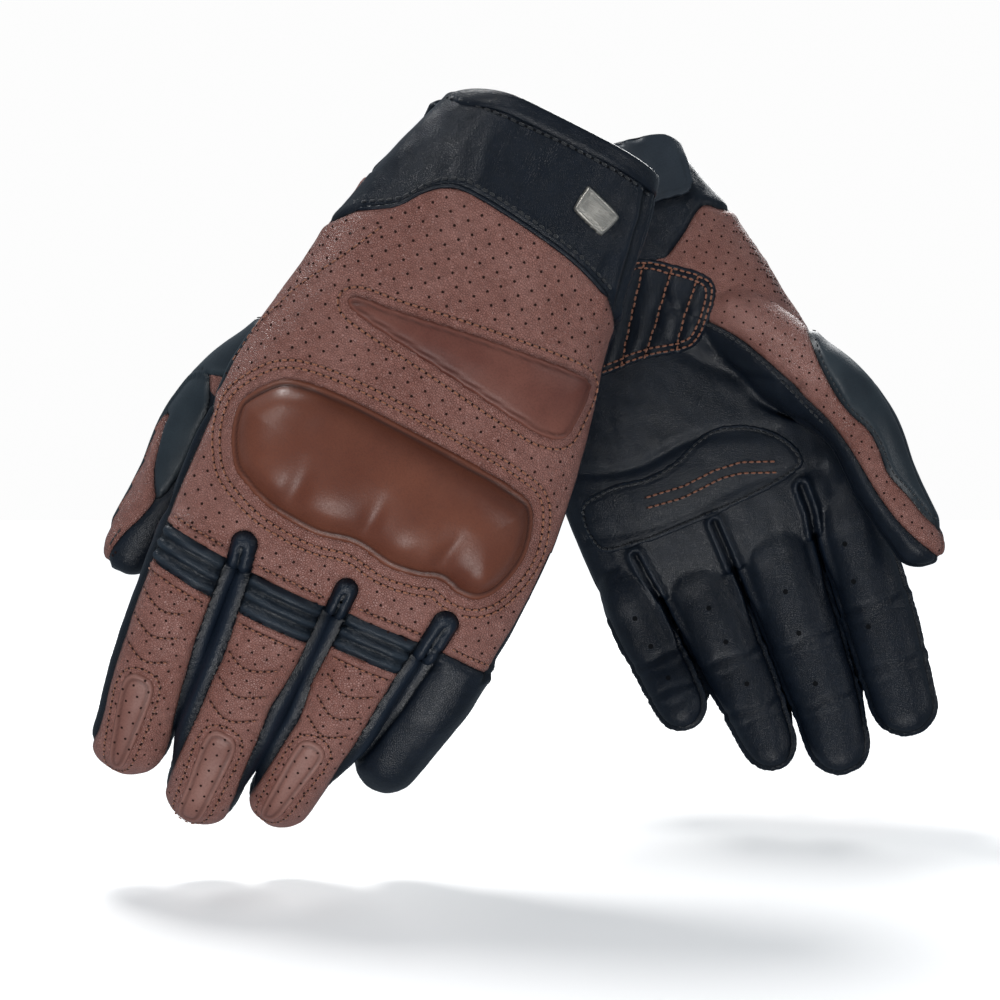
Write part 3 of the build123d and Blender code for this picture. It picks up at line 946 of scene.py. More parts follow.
BLACK = {"rough": 0.36, "patch": 0.35, "specular": 0.27, "depth": 0.00004}
MATERIALS = {
    "brown": leather(
        "brown perforated leather", (136, 88, 77), (86, 48, 40), (162, 116, 106),
        rough=0.42, grain=1.35, depth=0.00022,
    ),
    "black": leather("black leather", (10, 17, 27), (3, 6, 11), (22, 32, 45), **BLACK, grain=1.5),
    "rib": leather("black rib leather", (22, 30, 39), (4, 6, 10), (42, 52, 62), **BLACK, grain=1.8),
    "pad": smooth_hide("smooth dark leather", (27, 35, 42), (10, 14, 18), (48, 58, 64), 0.42, 0.35),
    "strap": smooth_hide("strap leather", (32, 39, 47), (11, 15, 19), (50, 58, 66), 0.5, 0.3),
    "guard": smooth_hide("guard shell", (94, 50, 36), (58, 30, 22), (118, 69, 51), 0.38, 0.3),
    "hide": smooth_hide("smooth brown leather", (89, 47, 39), (56, 29, 23), (126, 80, 68), 0.42, 0.26),
    "tan": smooth_hide("fingertip leather", (114, 74, 65), (72, 40, 33), (142, 102, 92), 0.46, 0.32),
    "thread": thread("brown thread", srgb(166, 106, 76), srgb(96, 54, 38)),
    "dark_thread": thread("dark thread", srgb(20, 24, 30), srgb(8, 10, 13)),
    # painted shade: the insides of holes and vents are dark discs
    "hole": hole_shade("punched holes", srgb(26, 13, 11), srgb(46, 26, 22)),
    "dark_hole": hole_shade("vent holes", srgb(4, 5, 7), srgb(12, 14, 18)),
    "knit": knit("lining knit", srgb(26, 28, 32), srgb(10, 11, 13)),
    "tape": knit("hook and loop tape", srgb(22, 24, 27), srgb(6, 7, 8)),
    "metal": brushed("badge plate", srgb(176, 172, 164), srgb(120, 116, 110)),
}

# ------------------------------------------------ zones: the body, or two bodies, under each stretch of skin; pieces of a one-body zone are attached to that body, the rest stay fixed
FINGER_CUT = {"index": 146.0, "middle": 146.0, "ring": 145.5, "little": 144.5}
ROOT_BEND = {"index": (8, 11), "middle": (8, 11), "ring": (8, 11), "little": (8, 8)}  # about the knuckle
TIP_BEND = {"index": 11, "middle": 11, "ring": 11, "little": 8.5, "thumb": 9}
TIP_CUT = {"index": 13, "middle": 13, "ring": 13, "little": 8.6, "thumb": 11.5}  # past the knuckle's centre
THUMB_CUT = -7.0
UNIT = {d: (MIDDLE[d] - KNUCKLE[d]).normalized() for d in DIGITS}


def tip_direction(digit):
    return Vector((0.02, 1, -0.09)).normalized() if digit == "thumb" else Vector((0, 1, -0.3)).normalized()


def zones():
    """Name, body or two bodies, and where the turn between them starts and ends in the glove's own frame."""
    out = {"hand": ("hand", None, None, None)}
    for d in DIGITS:
        k, m, along = KNUCKLE[d], MIDDLE[d], UNIT[d]
        before, after = ROOT_BEND.get(d, (6, 9.5))
        half = TIP_BEND[d]
        out[f"{d}_root"] = ("hand", f"{d}_base", k - along * before, k + along * after)
        bend = (along + tip_direction(d)).normalized()
        out[f"{d}_tip"] = (f"{d}_base", f"{d}_tip", m - bend * half, m + bend * half)
    return out


ZONES = zones()
ZONES["strap"] = ("strap", None, None, None)
ZONES["strap_bend"] = ("hand", "strap", Vector((37, 0, -17)), Vector((27, 0, -17)))


def zone_fields(flat, thumb):
    """For each zone a field that is positive in it; on the zones' shared lines it is zero."""
    u, v, w = flat.T
    on_thumb = thumb - 0.5
    k, along = np.array(KNUCKLE["thumb"]), np.array(UNIT["thumb"])
    reach = (flat - k) @ along
    thumb_zone = np.where(on_thumb > 0, np.minimum(reach - THUMB_CUT, 9.0), -9.0)
    fields = {"hand": None}
    fields["thumb_root"] = np.minimum(thumb_zone, TIP_CUT["thumb"] - reach)
    fields["thumb_tip"] = np.minimum(thumb_zone, reach - TIP_CUT["thumb"])
    taken = thumb_zone
    for number, name in enumerate(FINGERS):
        low = gap_u(number - 1, v) - u if number else np.full(len(u), 99.0)
        high = u - gap_u(number, v) if number < 3 else np.full(len(u), 99.0)
        beyond = v - FINGER_CUT[name]
        finger = np.minimum.reduce([low, high, beyond])
        finger = np.where(on_thumb > 0, -9.0, finger)
        past = (flat - np.array(KNUCKLE[name])) @ np.array(UNIT[name]) - TIP_CUT[name]
        fields[f"{name}_root"] = np.minimum(finger, -past)
        fields[f"{name}_tip"] = np.minimum(finger, past)
        taken = np.maximum(taken, finger)
    fields["hand"] = -taken
    return fields


# ------------------------------------------------ pieces, first in the glove's own frame
class Piece:
    """A mesh with what its material reads, the zone it follows and the nodes it replaces."""

    def __init__(
        self, name, at, faces, material, zone,
        painted_shade=None, high=None, rest=None, nodes=(), fill=None, shading=None,
    ):
        self.name, self.material, self.zone = name, material, zone
        self.nodes, self.fill, self.shading = nodes, fill, shading
        self.at, self.faces = np.asarray(at, float), faces
        self.painted_shade = np.zeros(len(self.at)) if painted_shade is None else painted_shade
        self.high = np.zeros(len(self.at)) if high is None else high
        self.rest = self.at if rest is None else rest


PIECES = []


def turned_in(at, normal, faces, depth, cut):
    """Adds the leather's cut edge, turned inwards along every border but the cuts between bodies."""
    border = border_of(faces)
    border = border[~cut[border].all(axis=1)]
    rim, place = np.unique(border, return_inverse=True)
    place = place.reshape(-1, 2) + len(at)
    inner = at[rim] - normal[rim] * depth
    walls = np.vstack([
        np.stack([border[:, 1], border[:, 0], place[:, 0]], 1),
        np.stack([border[:, 1], place[:, 0], place[:, 1]], 1),
    ])
    return np.vstack([at, inner]), np.vstack([faces, walls]), rim


WELD = 2000  # points closer than 1 mm over this are one point


def welded(skins):
    """Skins joined into one, with their shared points made one."""
    rows = np.vstack([s.rows for s in skins])
    base = np.cumsum([0] + [len(s.rows) for s in skins[:-1]])
    faces = np.vstack([s.faces + b for s, b in zip(skins, base)])
    places = np.round(rows[:, FLAT] * WELD)
    _, first, index = np.unique(places, axis=0, return_index=True, return_inverse=True)
    faces = index.ravel()[faces]
    good = (faces[:, 0] != faces[:, 1]) & (faces[:, 1] != faces[:, 2]) & (faces[:, 0] != faces[:, 2])
    used, faces = np.unique(faces[good], return_inverse=True)
    return Skin(rows[first][used], faces.reshape(-1, 3))


def leather_piece(name, skin, material, zone, nodes=()):
    """One leather of one zone; the skin's last column is zero along its cut to the next zone."""
    skin = welded([skin])
    cut = skin.rows[:, -1] < 1e-6
    at, faces, rim = turned_in(skin.at, skin.normal, skin.faces, SEWN, cut)

    def column(k):
        return np.concatenate([skin.rows[:, k], skin.rows[rim, k]])

    rest = np.vstack([skin.rows[:, FLAT], skin.rows[rim, FLAT] - skin.normal[rim] * SEWN])
    shading = normals_of(at, faces)
    shading[: len(cut)][cut] = skin.normal[cut] / np.linalg.norm(skin.normal[cut], axis=1)[:, None]
    # painted shade along the seams and the worn share, for the materials to read
    painted_shade_values, worn = column(PAINTED_SHADE), column(HIGH)
    PIECES.append(Piece(name, at, faces, material, zone, painted_shade_values, worn, rest, nodes, shading=shading))


CUFF_END_BACK, CUFF_END_PALM = 62.0, 34.0  # v where the cuff's leather ends


def leather_pieces(skin):
    """Cuts the skin into the pattern's leathers and the bodies' zones."""
    back, palm = skin.clip(skin.rows[:, SIDE]), skin.clip(-skin.rows[:, SIDE])
    parts = {"brown": [], "black": [], "rib": [], "pad": [], "cuff": []}

    field = back_field(back.rows[:, FLAT], back.rows[:, THUMB])
    brown, other = back.clip(field), back.clip(-field)
    strips = np.where(brown.rows[:, THUMB] > 0.5, -9.0, strip_field(brown.rows[:, FLAT]))
    parts["rib"].append(brown.clip(strips))
    parts["brown"].append(brown.clip(-strips))
    pad = np.where(
        other.rows[:, THUMB] > 0.5, inside(other.rows[:, FLAT][:, :2], spline_outline(BACK_PAD_THUMB)), -9.0
    )
    parts["pad"].append(other.clip(pad))
    other = other.clip(-pad)
    cuff = CUFF_END_BACK - other.rows[:, FLAT_V]
    parts["cuff"].append(other.clip(cuff))
    parts["black"].append(other.clip(-cuff))

    pad = inside(palm.rows[:, FLAT][:, :2], spline_outline(PALM_PAD))
    pad = np.minimum(pad, palm.rows[:, FLAT_U] - 45)
    parts["pad"].append(palm.clip(pad))
    palm = palm.clip(-pad)
    brown = inside(palm.rows[:, FLAT][:, :2], spline_outline(PALM_BROWN))
    on_finger = (palm.rows[:, THUMB] < 0.5) & (palm.rows[:, FLAT_V] > 112)
    brown = np.where(on_finger, -9.0, brown)
    parts["brown"].append(palm.clip(brown))
    palm = palm.clip(-brown)
    cuff = CUFF_END_PALM - palm.rows[:, FLAT_V]
    parts["cuff"].append(palm.clip(cuff))
    parts["black"].append(palm.clip(-cuff))

    replaced = {
        ("hand", "brown"): ("back_panel", "thumb_gusset"),
        ("hand", "black"): ("palm_panel", "finger_webs"),
        ("hand", "cuff"): ("cuff",),
        ("index_root", "rib"): ("stretch_panels",),
        ("little_root", "black"): ("little_base",),
        ("little_tip", "black"): ("little_tip",),
    }
    for digit in ("index", "middle", "ring", "thumb"):
        replaced[f"{digit}_root", "brown"] = (f"{digit}_base",)
        replaced[f"{digit}_tip", "brown"] = (f"{digit}_tip",)
    names = {
        "brown": "brown_leather", "black": "black_leather", "rib": "accordion_strip", "pad": "smooth_panel",
    }
    for key, skins in parts.items():
        whole = welded([s for s in skins if len(s.faces)])
        fields = zone_fields(whole.rows[:, FLAT], whole.rows[:, THUMB])
        for zone, zone_field in fields.items():
            part = Skin(np.hstack([whole.rows, zone_field[:, None]]), whole.faces).clip(zone_field)
            if len(part.faces) < 12:
                continue
            name = "cuff" if key == "cuff" else f"{zone}_{names[key]}"
            material = "black" if key == "cuff" else key
            leather_piece(name, part, material, zone, replaced.get((zone, key), ()))


# ------------------------------------------------ sewn-on parts that follow the skin
class Surface:
    """Finds the leather's surface from the back or the palm."""

    def __init__(self, skin):
        self.tree = BVHTree.FromPolygons([Vector(p) for p in skin.at], skin.faces.tolist())
        self.rows = skin.rows
        self.faces = skin.faces
        self.sewn_on = {True: [], False: []}  # the tops of the pieces sewn on the back and on the palm

    def find(self, u, v, back=True, over=False):
        sign = 1 if back else -1
        start, way = Vector((u, v, 90 * sign)), Vector((0, 0, -sign))
        hit, normal, face, _ = self.tree.ray_cast(start, way)
        if hit is None:
            hit, normal, face, _ = self.tree.find_nearest(Vector((u, v, 12 * sign)))
        rows = self.rows[self.faces[face]]
        gap = np.linalg.norm(rows[:, :3] - np.array(hit), axis=1)
        weight = 1 / (gap + 1e-3)
        row = (rows * weight[:, None]).sum(0) / weight.sum()
        normal = row[3:6] / max(np.linalg.norm(row[3:6]), 1e-6)
        for top in self.sewn_on[back] if over else ():
            upper, slope, _, _ = top.ray_cast(start, way)
            if upper and (upper.z - hit[2]) * sign > 0:
                hit, normal = upper, np.array(slope * (1 if slope.z * sign > 0 else -1))
        return np.array(hit), normal, row

    def many(self, uv, back=True, over=False):
        found = [self.find(u, v, back, over) for u, v in uv]
        return tuple(np.array([f[k] for f in found]) for k in range(3))


def grid_inside(outline, step):
    """Triangles over the inside of an outline, cut along it, and each point's distance inside."""
    low, high = outline.min(0) - step, outline.max(0) + step
    us, vs = np.arange(low[0], high[0] + step, step), np.arange(low[1], high[1] + step, step)
    u, v = np.meshgrid(us, vs, indexing="ij")
    number = np.arange(u.size).reshape(u.shape)
    corners = (number[:-1, :-1], number[1:, :-1], number[1:, 1:], number[:-1, 1:])
    a, b, c, d = (corner.ravel() for corner in corners)
    rows = np.stack([u.ravel(), v.ravel()], 1)
    sheet = Skin(rows, np.vstack([np.stack([a, b, c], 1), np.stack([a, c, d], 1)]))
    return sheet.clip(inside(rows, outline))


def patch(name, outline, height, material, zone="hand", back=True, step=0.9, under=-0.5, nodes=(), fill=None):
    """A closed pad on the leather; height gives the height of its top, its share of painted shade along the
    seams and its worn share.
    """
    outline = resample(spline_outline(outline, 0.7), 0.9, closed=True)
    sheet = grid_inside(outline, step)
    uv = sheet.rows
    depth = np.maximum(inside(uv, outline), 0)
    place, normal, _ = SURFACE.many(uv, back)
    even = relax_open(place, sheet.faces, 6)
    normal = relax_open(normal, sheet.faces, 10)
    normal /= np.linalg.norm(normal, axis=1)[:, None]
    top, painted_shade, high = height(depth, uv[:, 0], uv[:, 1])
    at = even + normal * top[:, None]
    low = even + normal * under
    if not zone.startswith("strap"):
        SURFACE.sewn_on[back].append(BVHTree.FromPolygons([Vector(p) for p in at], sheet.faces.tolist()))
    n = len(at)
    faces = sheet.faces if back else sheet.faces[:, ::-1]
    first, second = border_of(faces).T
    walls = np.vstack([
        np.stack([second, first, first + n], 1),
        np.stack([second, first + n, second + n], 1),
    ])
    faces = np.vstack([faces, faces[:, ::-1] + n, walls])
    PIECES.append(Piece(
        name, np.vstack([at, low]), faces, material, zone, np.concatenate([painted_shade, painted_shade]),
        np.concatenate([high, high * 0]), nodes=nodes, fill=fill,
    ))
    return outline


def offset_outline(outline, by):
    """An outline moved outwards by so many mm."""
    line = resample(spline_outline(outline, 0.7), 1.6, closed=True)
    along = np.roll(line, -1, axis=0) - np.roll(line, 1, axis=0)
    out = np.stack([along[:, 1], -along[:, 0]], 1)
    out /= np.linalg.norm(out, axis=1)[:, None]
    area = np.sum(line[:, 0] * np.roll(line[:, 1], -1) - np.roll(line[:, 0], -1) * line[:, 1])
    return line + out * by * np.sign(area)


class Scatter:
    """Many small shapes gathered into one piece per zone and material."""

    def __init__(self):
        self.groups = {}

    def add(self, zone, material, at, faces, rest):
        group = self.groups.setdefault((zone, material), ([], [], [], [0]))
        group[0].append(at)
        group[1].append(faces + group[3][0])
        group[2].append(rest)
        group[3][0] += len(at)

    def finish(self):
        titles = {
            "thread": "stitches", "dark_thread": "dark_stitches",
            "hole": "perforations", "dark_hole": "vents",
        }
        for (zone, material), (at, faces, rest, _) in sorted(self.groups.items()):
            name = f"{zone}_{titles[material]}"
            PIECES.append(Piece(name, np.vstack(at), np.vstack(faces), material, zone, rest=np.vstack(rest)))


def zones_of(rows):
    """The zone that each surface point belongs to."""
    fields = zone_fields(rows[:, FLAT], rows[:, THUMB])
    names = list(fields)
    best = np.argmax(np.stack([fields[n] for n in names]), axis=0)
    return [names[b] for b in best]


def circle(sides):
    """The cosines and sines of evenly spaced turns."""
    turn = np.linspace(0, 2 * math.pi, sides, endpoint=False)
    return np.cos(turn), np.sin(turn)


CAPSULE_SIDES, DISC_SIDES, TUBE_SIDES = 6, 8, 8
CAPSULE_RINGS = ((-0.5, 0.35), (-0.32, 0.95), (0.32, 0.95), (0.5, 0.35))  # place along a stitch, and radius
COS, SIN = circle(CAPSULE_SIDES)
CAPSULE = np.vstack([np.stack([np.full(CAPSULE_SIDES, x), COS * r, SIN * r], 1) for x, r in CAPSULE_RINGS])
CAPSULE_FACES = np.array(sleeve(4, CAPSULE_SIDES, False) + caps(4, CAPSULE_SIDES))[:, ::-1]
COS, SIN = circle(DISC_SIDES)
DISC = np.vstack([[0, 0, -0.28], np.stack([COS, SIN, np.zeros(DISC_SIDES)], 1)])
DISC_FACES = np.array([(0, 1 + k, 1 + (k + 1) % DISC_SIDES) for k in range(DISC_SIDES)])
NEEDLE_HOLE = 0.42  # radius
STITCH_LIFT = 0.34  # from the leather to a stitch's middle


def stitches(
    line, back=True, pitch=2.5, length=1.75, radius=0.42, material="thread", holes="hole", closed=False
):
    """Stitches along a line, each lying on the leather between two needle holes."""
    points = resample(np.asarray(line, float), pitch, closed)
    place, normal, rows = SURFACE.many(points, back, over=True)
    ends = np.roll(place, -1, axis=0)
    if not closed:
        place, ends, normal, rows = place[:-1], ends[:-1], normal[:-1], rows[:-1]
    zone = zones_of(rows)
    brown = np.full(len(rows), 9.0)
    if back and material == "thread":
        brown = back_field(rows[:, FLAT], rows[:, THUMB])
    for k in range(len(place)):
        along = ends[k] - place[k]
        size = np.linalg.norm(along)
        if size < 0.4 or size > pitch * 2.2 or brown[k] < 0.7:
            continue
        along /= size
        up = normal[k] - along * (normal[k] @ along)
        up /= np.linalg.norm(up)
        across = np.cross(up, along)
        frame_of = np.stack([along, across, up])
        middle = (place[k] + ends[k]) / 2
        body = CAPSULE * [length, radius, radius * 0.8] @ frame_of
        SMALL.add(zone[k], material, body + middle + up * STITCH_LIFT, CAPSULE_FACES, body + rows[k][FLAT])
        if holes:
            # the needle hole is a dark disc: painted shade for its inside
            disc = DISC * [NEEDLE_HOLE, NEEDLE_HOLE, 0.1]
            at = disc @ frame_of + place[k] + up * 0.08
            SMALL.add(zone[k], holes, at, DISC_FACES, disc + rows[k][FLAT])


def punched(points, back=True, radius=0.45, material="hole"):
    """Round punched holes: dark discs dished onto the leather, their colour painted shade for the holes'
    insides.
    """
    place, normal, rows = SURFACE.many(points, back, over=True)
    zone = zones_of(rows)
    for k in range(len(place)):
        up = normal[k]
        across = np.cross(up, [0, 1, 0])
        across /= np.linalg.norm(across)
        frame_of = np.stack([across, np.cross(up, across), up])
        # each hole is a dark disc: painted shade for its inside
        disc = DISC * [radius, radius, 0.12]
        SMALL.add(zone[k], material, disc @ frame_of + place[k] + up * 0.09, DISC_FACES, disc + rows[k][FLAT])


def lattice(low, high, across, row):
    """A staggered grid of points over a box."""
    points = []
    for j, v in enumerate(np.arange(low[1], high[1], row)):
        points += [(u + (j % 2) * across / 2, v) for u in np.arange(low[0], high[0], across)]
    return np.array(points)


def tube(name, line, radius, material, zone, lift):
    """A welt along a line on the back of the glove, thinner at both ends."""
    place, normal, _ = SURFACE.many(resample(np.asarray(line, float), 1.4))
    place = place + normal * lift
    turn = np.linspace(0, 2 * math.pi, TUBE_SIDES, endpoint=False)
    last = len(place) - 1
    at = []
    for k in range(len(place)):
        along = place[min(k + 1, last)] - place[max(k - 1, 0)]
        along /= np.linalg.norm(along)
        up = normal[k] - along * (normal[k] @ along)
        up /= np.linalg.norm(up)
        across = np.cross(along, up)
        size = radius * min(1, 0.25 + min(k, last - k) * 0.5)
        at.append(place[k] + size * (np.outer(np.cos(turn), across) + np.outer(np.sin(turn), up)))
    faces = sleeve(len(place), TUBE_SIDES, False) + caps(len(place), TUBE_SIDES)
    PIECES.append(Piece(name, np.vstack(at), np.array(faces), material, zone))


# ------------------------------------------------ one glove
SKIN = full_skin()
leather_pieces(SKIN)
SURFACE = Surface(SKIN)
SMALL = Scatter()

LOBES = (-38, -13, 12, 33)
GUARD_RISE, GUARD_LIP = 8.4, 1.3
BACK_PAD = [
    (-43, 71), (-36, 73.8), (-24, 73.2), (0, 70.5), (18, 68.6), (30, 67), (34.4, 65.6), (35.4, 63.4),
    (32, 61), (20, 59.5),
    (0, 56), (-20, 53), (-36, 50.8), (-41.6, 51), (-43.6, 54), (-44, 64),
]
FINGER_PADS = {
    "index": [
        (33.8, 196.6), (38.4, 194), (42.8, 195.6), (43.6, 201), (40.4, 214), (37, 225.5), (33.8, 227.5),
        (31.2, 224.5), (31.8, 210),
    ],
    "middle": [
        (3, 202), (8, 199), (12.6, 200.6), (13.6, 206), (12, 219), (10.4, 231), (6, 233), (2.2, 230),
        (2, 216),
    ],
    "ring": [
        (-23, 193), (-18.6, 189.4), (-14, 191), (-12.8, 196), (-12.6, 208), (-13.2, 219.4), (-16, 221.4),
        (-19.6, 218.4), (-21.8, 205),
    ],
}
HEEL_PAD = [
    (-37, 36), (-37, 57), (-33, 62.4), (-18, 64.2), (-4, 64.6), (8, 67.2), (14, 68), (19.4, 66),
    (26, 59.6), (31, 52.6),
    (31.6, 48), (28.6, 43), (21.4, 36.8), (13, 30.6), (4, 27.6), (-10, 26.8), (-24, 28), (-34, 31.4),
]
CHANNELS = [
    [(27.5, 44), (18, 54), (8.6, 66)], [(19.5, 37.5), (8, 51), (-3.5, 64)], [(11, 31.5), (0, 46),
    (-12.5, 63)],
    [(2, 29), (-8.5, 43), (-21.5, 62)], [(-8, 29), (-17.5, 42), (-30.5, 61)],
]
PALM_PATCH = [
    (-50, 106), (-36, 102.4), (-20, 104.6), (-8, 103), (2, 99), (12, 98), (24, 103), (33, 112), (36, 122),
    (30, 126),
    (14, 128), (-12, 128.5), (-34, 128), (-50, 124),
]
BADGE = [
    (-13.2, 0.6), (-14.6, 0), (-25.2, 2.6), (-26.6, 4.2), (-24.6, 10.6), (-23, 11.4), (-13.6, 9.2),
    (-12.4, 7.6),
]
STRAP = [
    (36.5, -13.6), (30, -14), (10, -12.6), (-10, -11.6), (-20, -11), (-24.4, -8), (-25.6, 0), (-24.4, 8),
    (-20, 11),
    (-8, 12), (8, 13), (24, 13.6), (36.5, 14.4), (38, 0),
]
TAPE = [(-20, -8), (2, -8), (2, 8), (-20, 8)]


def guard_top(depth, u, v):
    lip = GUARD_LIP * (1 - np.exp(-depth / 0.5)) + 0.45 * bump(depth - 1.3, 0.8)
    dome = GUARD_RISE * (1 - np.exp(-np.maximum(depth - 2.2, 0) / 4.2)) * rise(depth, 2.0, 3.4)
    lobes = sum(1.5 * bump(u - at, 8.5) * rise(v, 100, 121) for at in LOBES)
    valleys = sum(1.5 * bump(u - (a + b) / 2, 2.8) * rise(v, 106, 123) for a, b in zip(LOBES, LOBES[1:]))
    ends = 1.0 * bump((u + 34) / 12, 1) * bump((v - 104) / 12, 1)
    shape = (lobes - valleys + ends) * rise(depth, 2.5, 8)
    # painted shade in the ring just inside the guard's lip
    painted_shade = bump(depth - 2.4, 0.7)
    high = 0.8 * bump(depth - 1.2, 0.7) + 0.4 * rise(lobes, 0.8, 1.5)
    return lip + dome + shape, painted_shade, high


def soft_top(height, shoulder, lip=0.35):
    """A stuffed pad: quick rise from a folded edge, then nearly level."""

    def top(depth, u, v):
        edge = lip * bump(depth - 1.0, 0.55)
        swell = height * (1 - np.exp(-depth / shoulder)) + height * 0.25 * rise(depth, 1, 9)
        # painted shade in a line just inside the pad's edge
        painted_shade, high = 0.8 * bump(depth - 2.1, 0.6), 0.9 * bump(depth - 0.9, 0.6)
        return edge + swell - 0.35 * bump(depth - 2.1, 0.5), painted_shade, high

    return top


def channelled(height, shoulder, lines):
    """A stuffed pad with sewn channels."""
    swell = soft_top(height, shoulder)

    def top(depth, u, v):
        z, painted_shade, high = swell(depth, u, v)
        gap = np.full(len(u), 99.0)
        for line in lines:
            gap = np.minimum(gap, distance_to(np.stack([u, v], 1), spline(line, 1.5)))
        sunk = bump(gap, 1.0)
        puff = bump(gap - 4.5, 2.6) * rise(depth, 1.5, 4)
        # painted shade in the sewn channels
        return z - 1.3 * sunk + 0.9 * puff, np.maximum(painted_shade, sunk), high

    return top


def strap_top(depth, u, v):
    wave = 0.25 * np.sin(u * 0.22 + 1) + 0.15 * np.sin(v * 0.5)
    # painted shade in a line inside the strap's edge
    painted_shade, high = bump(depth - 2.6, 0.5) * 0.5, 0.7 * bump(depth - 0.4, 0.6)
    return 3.5 + wave + 0.4 * (1 - np.exp(-depth / 0.6)), painted_shade, high


def flat_top(height):
    """A level top without seams."""

    def top(depth, u, v):
        return height + 0 * depth, 0 * depth, 0 * depth

    return top


def plate_top(depth, u, v):
    inset = 0.35 * rise(depth, 1.5, 1.9)
    return 1.3 * (1 - np.exp(-depth / 0.3)) - inset, 0.5 * bump(depth - 1.7, 0.3), bump(depth - 0.6, 0.5)


patch("knuckle_guard", GUARD, guard_top, "guard", nodes=("knuckle_guard", "guard_foam"), step=0.8)
patch("back_pad", BACK_PAD, soft_top(1.9, 1.0, 0.75), "hide", nodes=("back_pad",), fill=0.8)
for digit, outline in FINGER_PADS.items():
    soft, pad_name = soft_top(1.3, 0.9, 0.2), f"{digit}_pad"
    patch(pad_name, outline, soft, "tan", f"{digit}_tip", step=0.6, nodes=(pad_name,), fill=0.8)
patch("cuff_badge", BADGE, plate_top, "metal", step=0.5, nodes=("cuff_badge",))
quilted = channelled(2.0, 1.6, CHANNELS)
patch("heel_pad", HEEL_PAD, quilted, "black", back=False, nodes=("heel_pad",), fill=0.7)
second_layer = soft_top(0.7, 0.8, 0.25)
patch("palm_patch", PALM_PATCH, second_layer, "black", back=False, nodes=("palm_patch",), under=-0.4)
patch("loop_tape", TAPE, flat_top(0.9), "tape", back=False, nodes=("loop_tape",))
patch("hook_tape", TAPE, flat_top(1.9), "tape", "strap", back=False, under=1.1, nodes=("hook_tape",))
patch("wrist_strap", STRAP, strap_top, "strap", "strap_bend", back=False, under=2.0, nodes=("wrist_strap",))

# seams, stitches and holes of the back
for distance in (3.1, 5.3):
    stitches(offset_outline(GUARD, distance), closed=True, pitch=2.3)
stitches(offset_outline(BACK_PAD, 2.6), closed=True, pitch=2.4)
cuff_line = spline(CUFF_SEAM[2:-1], 1.5)
tube("cuff_piping", cuff_line, 0.75, "black", "hand", lift=0.15)
stitches(cuff_line - [0, 2.4], material="dark_thread", holes=None)
mouth_line = [(36, -5.2), (18, -6.4), (0, -7.4), (-18, -8.0), (-33, -8.2)]
stitches(mouth_line, material="dark_thread", holes="dark_hole", pitch=2.8)
for line in STRIP_STITCHES:
    stitches(line, pitch=2.2, length=1.4, radius=0.32)
little_line = [(-55.5, LITTLE_SEAM - 2.6), (-48, LITTLE_SEAM - 2.4), (-41.5, LITTLE_SEAM - 2.6)]
stitches(little_line, pitch=2.1, length=1.4, radius=0.3)
for line in CHEVRON_LINES:
    stitches(line, pitch=2.1, length=1.1, radius=0.26)
for outline in FINGER_PADS.values():
    stitches(offset_outline(outline, 1.5), closed=True, pitch=2.2, length=1.3, radius=0.26)
stitches([(36, 40), (42, 52), (50, 66), (56, 82), (58, 96)], pitch=2.6, radius=0.28)

# seams and stitches of the palm
for distance in (-1.8, -3.9):
    stitches(offset_outline(HEEL_PAD, distance), back=False, closed=True, pitch=2.4)
for line in CHANNELS:
    stitches(spline(line, 1.5), back=False, pitch=2.4)
stitches([(-24, 112), (-8.7, 113.6), (4, 112.7), (14, 113.7), (26, 118.6)], back=False)
stitches([(-25, 115.8), (-11, 117.6), (5, 116.4), (12.5, 117.5), (25, 122.6)], back=False)
stitches(offset_outline(PALM_PATCH, -1.6), back=False, closed=True, material="dark_thread", holes=None)
palm_seam = spline(PALM_BROWN[16:22][::-1], 1.5)
stitches(palm_seam - [1.8, 0], back=False, material="dark_thread", holes=None)
line = offset_outline(PALM_PAD, -1.6)
line = line[(line[:, 0] < 74) & (line[:, 1] > 77) & (line[:, 1] < 170)]
stitches(line, back=False, material="dark_thread", holes=None, pitch=2.2, length=1.5, radius=0.28)
VENTS = {
    "index": [(33, 188), (34.5, 171), (37, 157)], "middle": [(7, 200), (8.5, 181), (10, 165)],
    "ring": [(-16.5, 191), (-18, 174), (-19, 160)], "little": [(-43, 178), (-45, 165), (-46.5, 153)],
}
for centres in VENTS.values():
    punched(centres, back=False, radius=1.0, material="dark_hole")


def above(points):
    """Points of the plan, standing over the back of the hand."""
    return np.hstack([points, np.full((len(points), 1), 12.0)])


def brown_back(points):
    return back_field(above(points), np.zeros(len(points)))


# perforations of the back of the hand, of the fingers and of the palm
PERFORATED_TO = (225, 230, 219)  # v where the holes of the index, middle and ring fingers end
points = lattice((-57, 20), (60, 150), 5.9, 3.2)
clear = np.minimum(brown_back(points), -inside(points, spline_outline(GUARD)) - 4.8)
clear = np.minimum(clear, -inside(points, spline_outline(BACK_PAD)) - 2.0)
punched(points[clear > 2.4])
points = lattice((-35, 152), (56, 232), 5.0, 2.9)
field = np.minimum(brown_back(points), -strip_field(above(points)) - 0.5)
on_finger = [finger_number(above(points)) == k for k in range(3)]
limit = np.select(on_finger, PERFORATED_TO, 0) - points[:, 1]
crossing = np.full(len(points), 99.0)
for line in CHEVRON_LINES:
    crossing = np.minimum(crossing, distance_to(points, line))
punched(points[(np.minimum(field, limit) > 1.8) & (crossing > 1.5)], radius=0.42)
points = lattice((14, 24), (72, 176), 4.8, 3.3)
field = np.minimum(inside(points, spline_outline(PALM_BROWN)), -inside(points, spline_outline(PALM_PAD)))
field = np.minimum(field, -inside(points, spline_outline(HEEL_PAD)) - 1)
punched(points[field > 1.8], back=False, radius=0.44)
SMALL.finish()


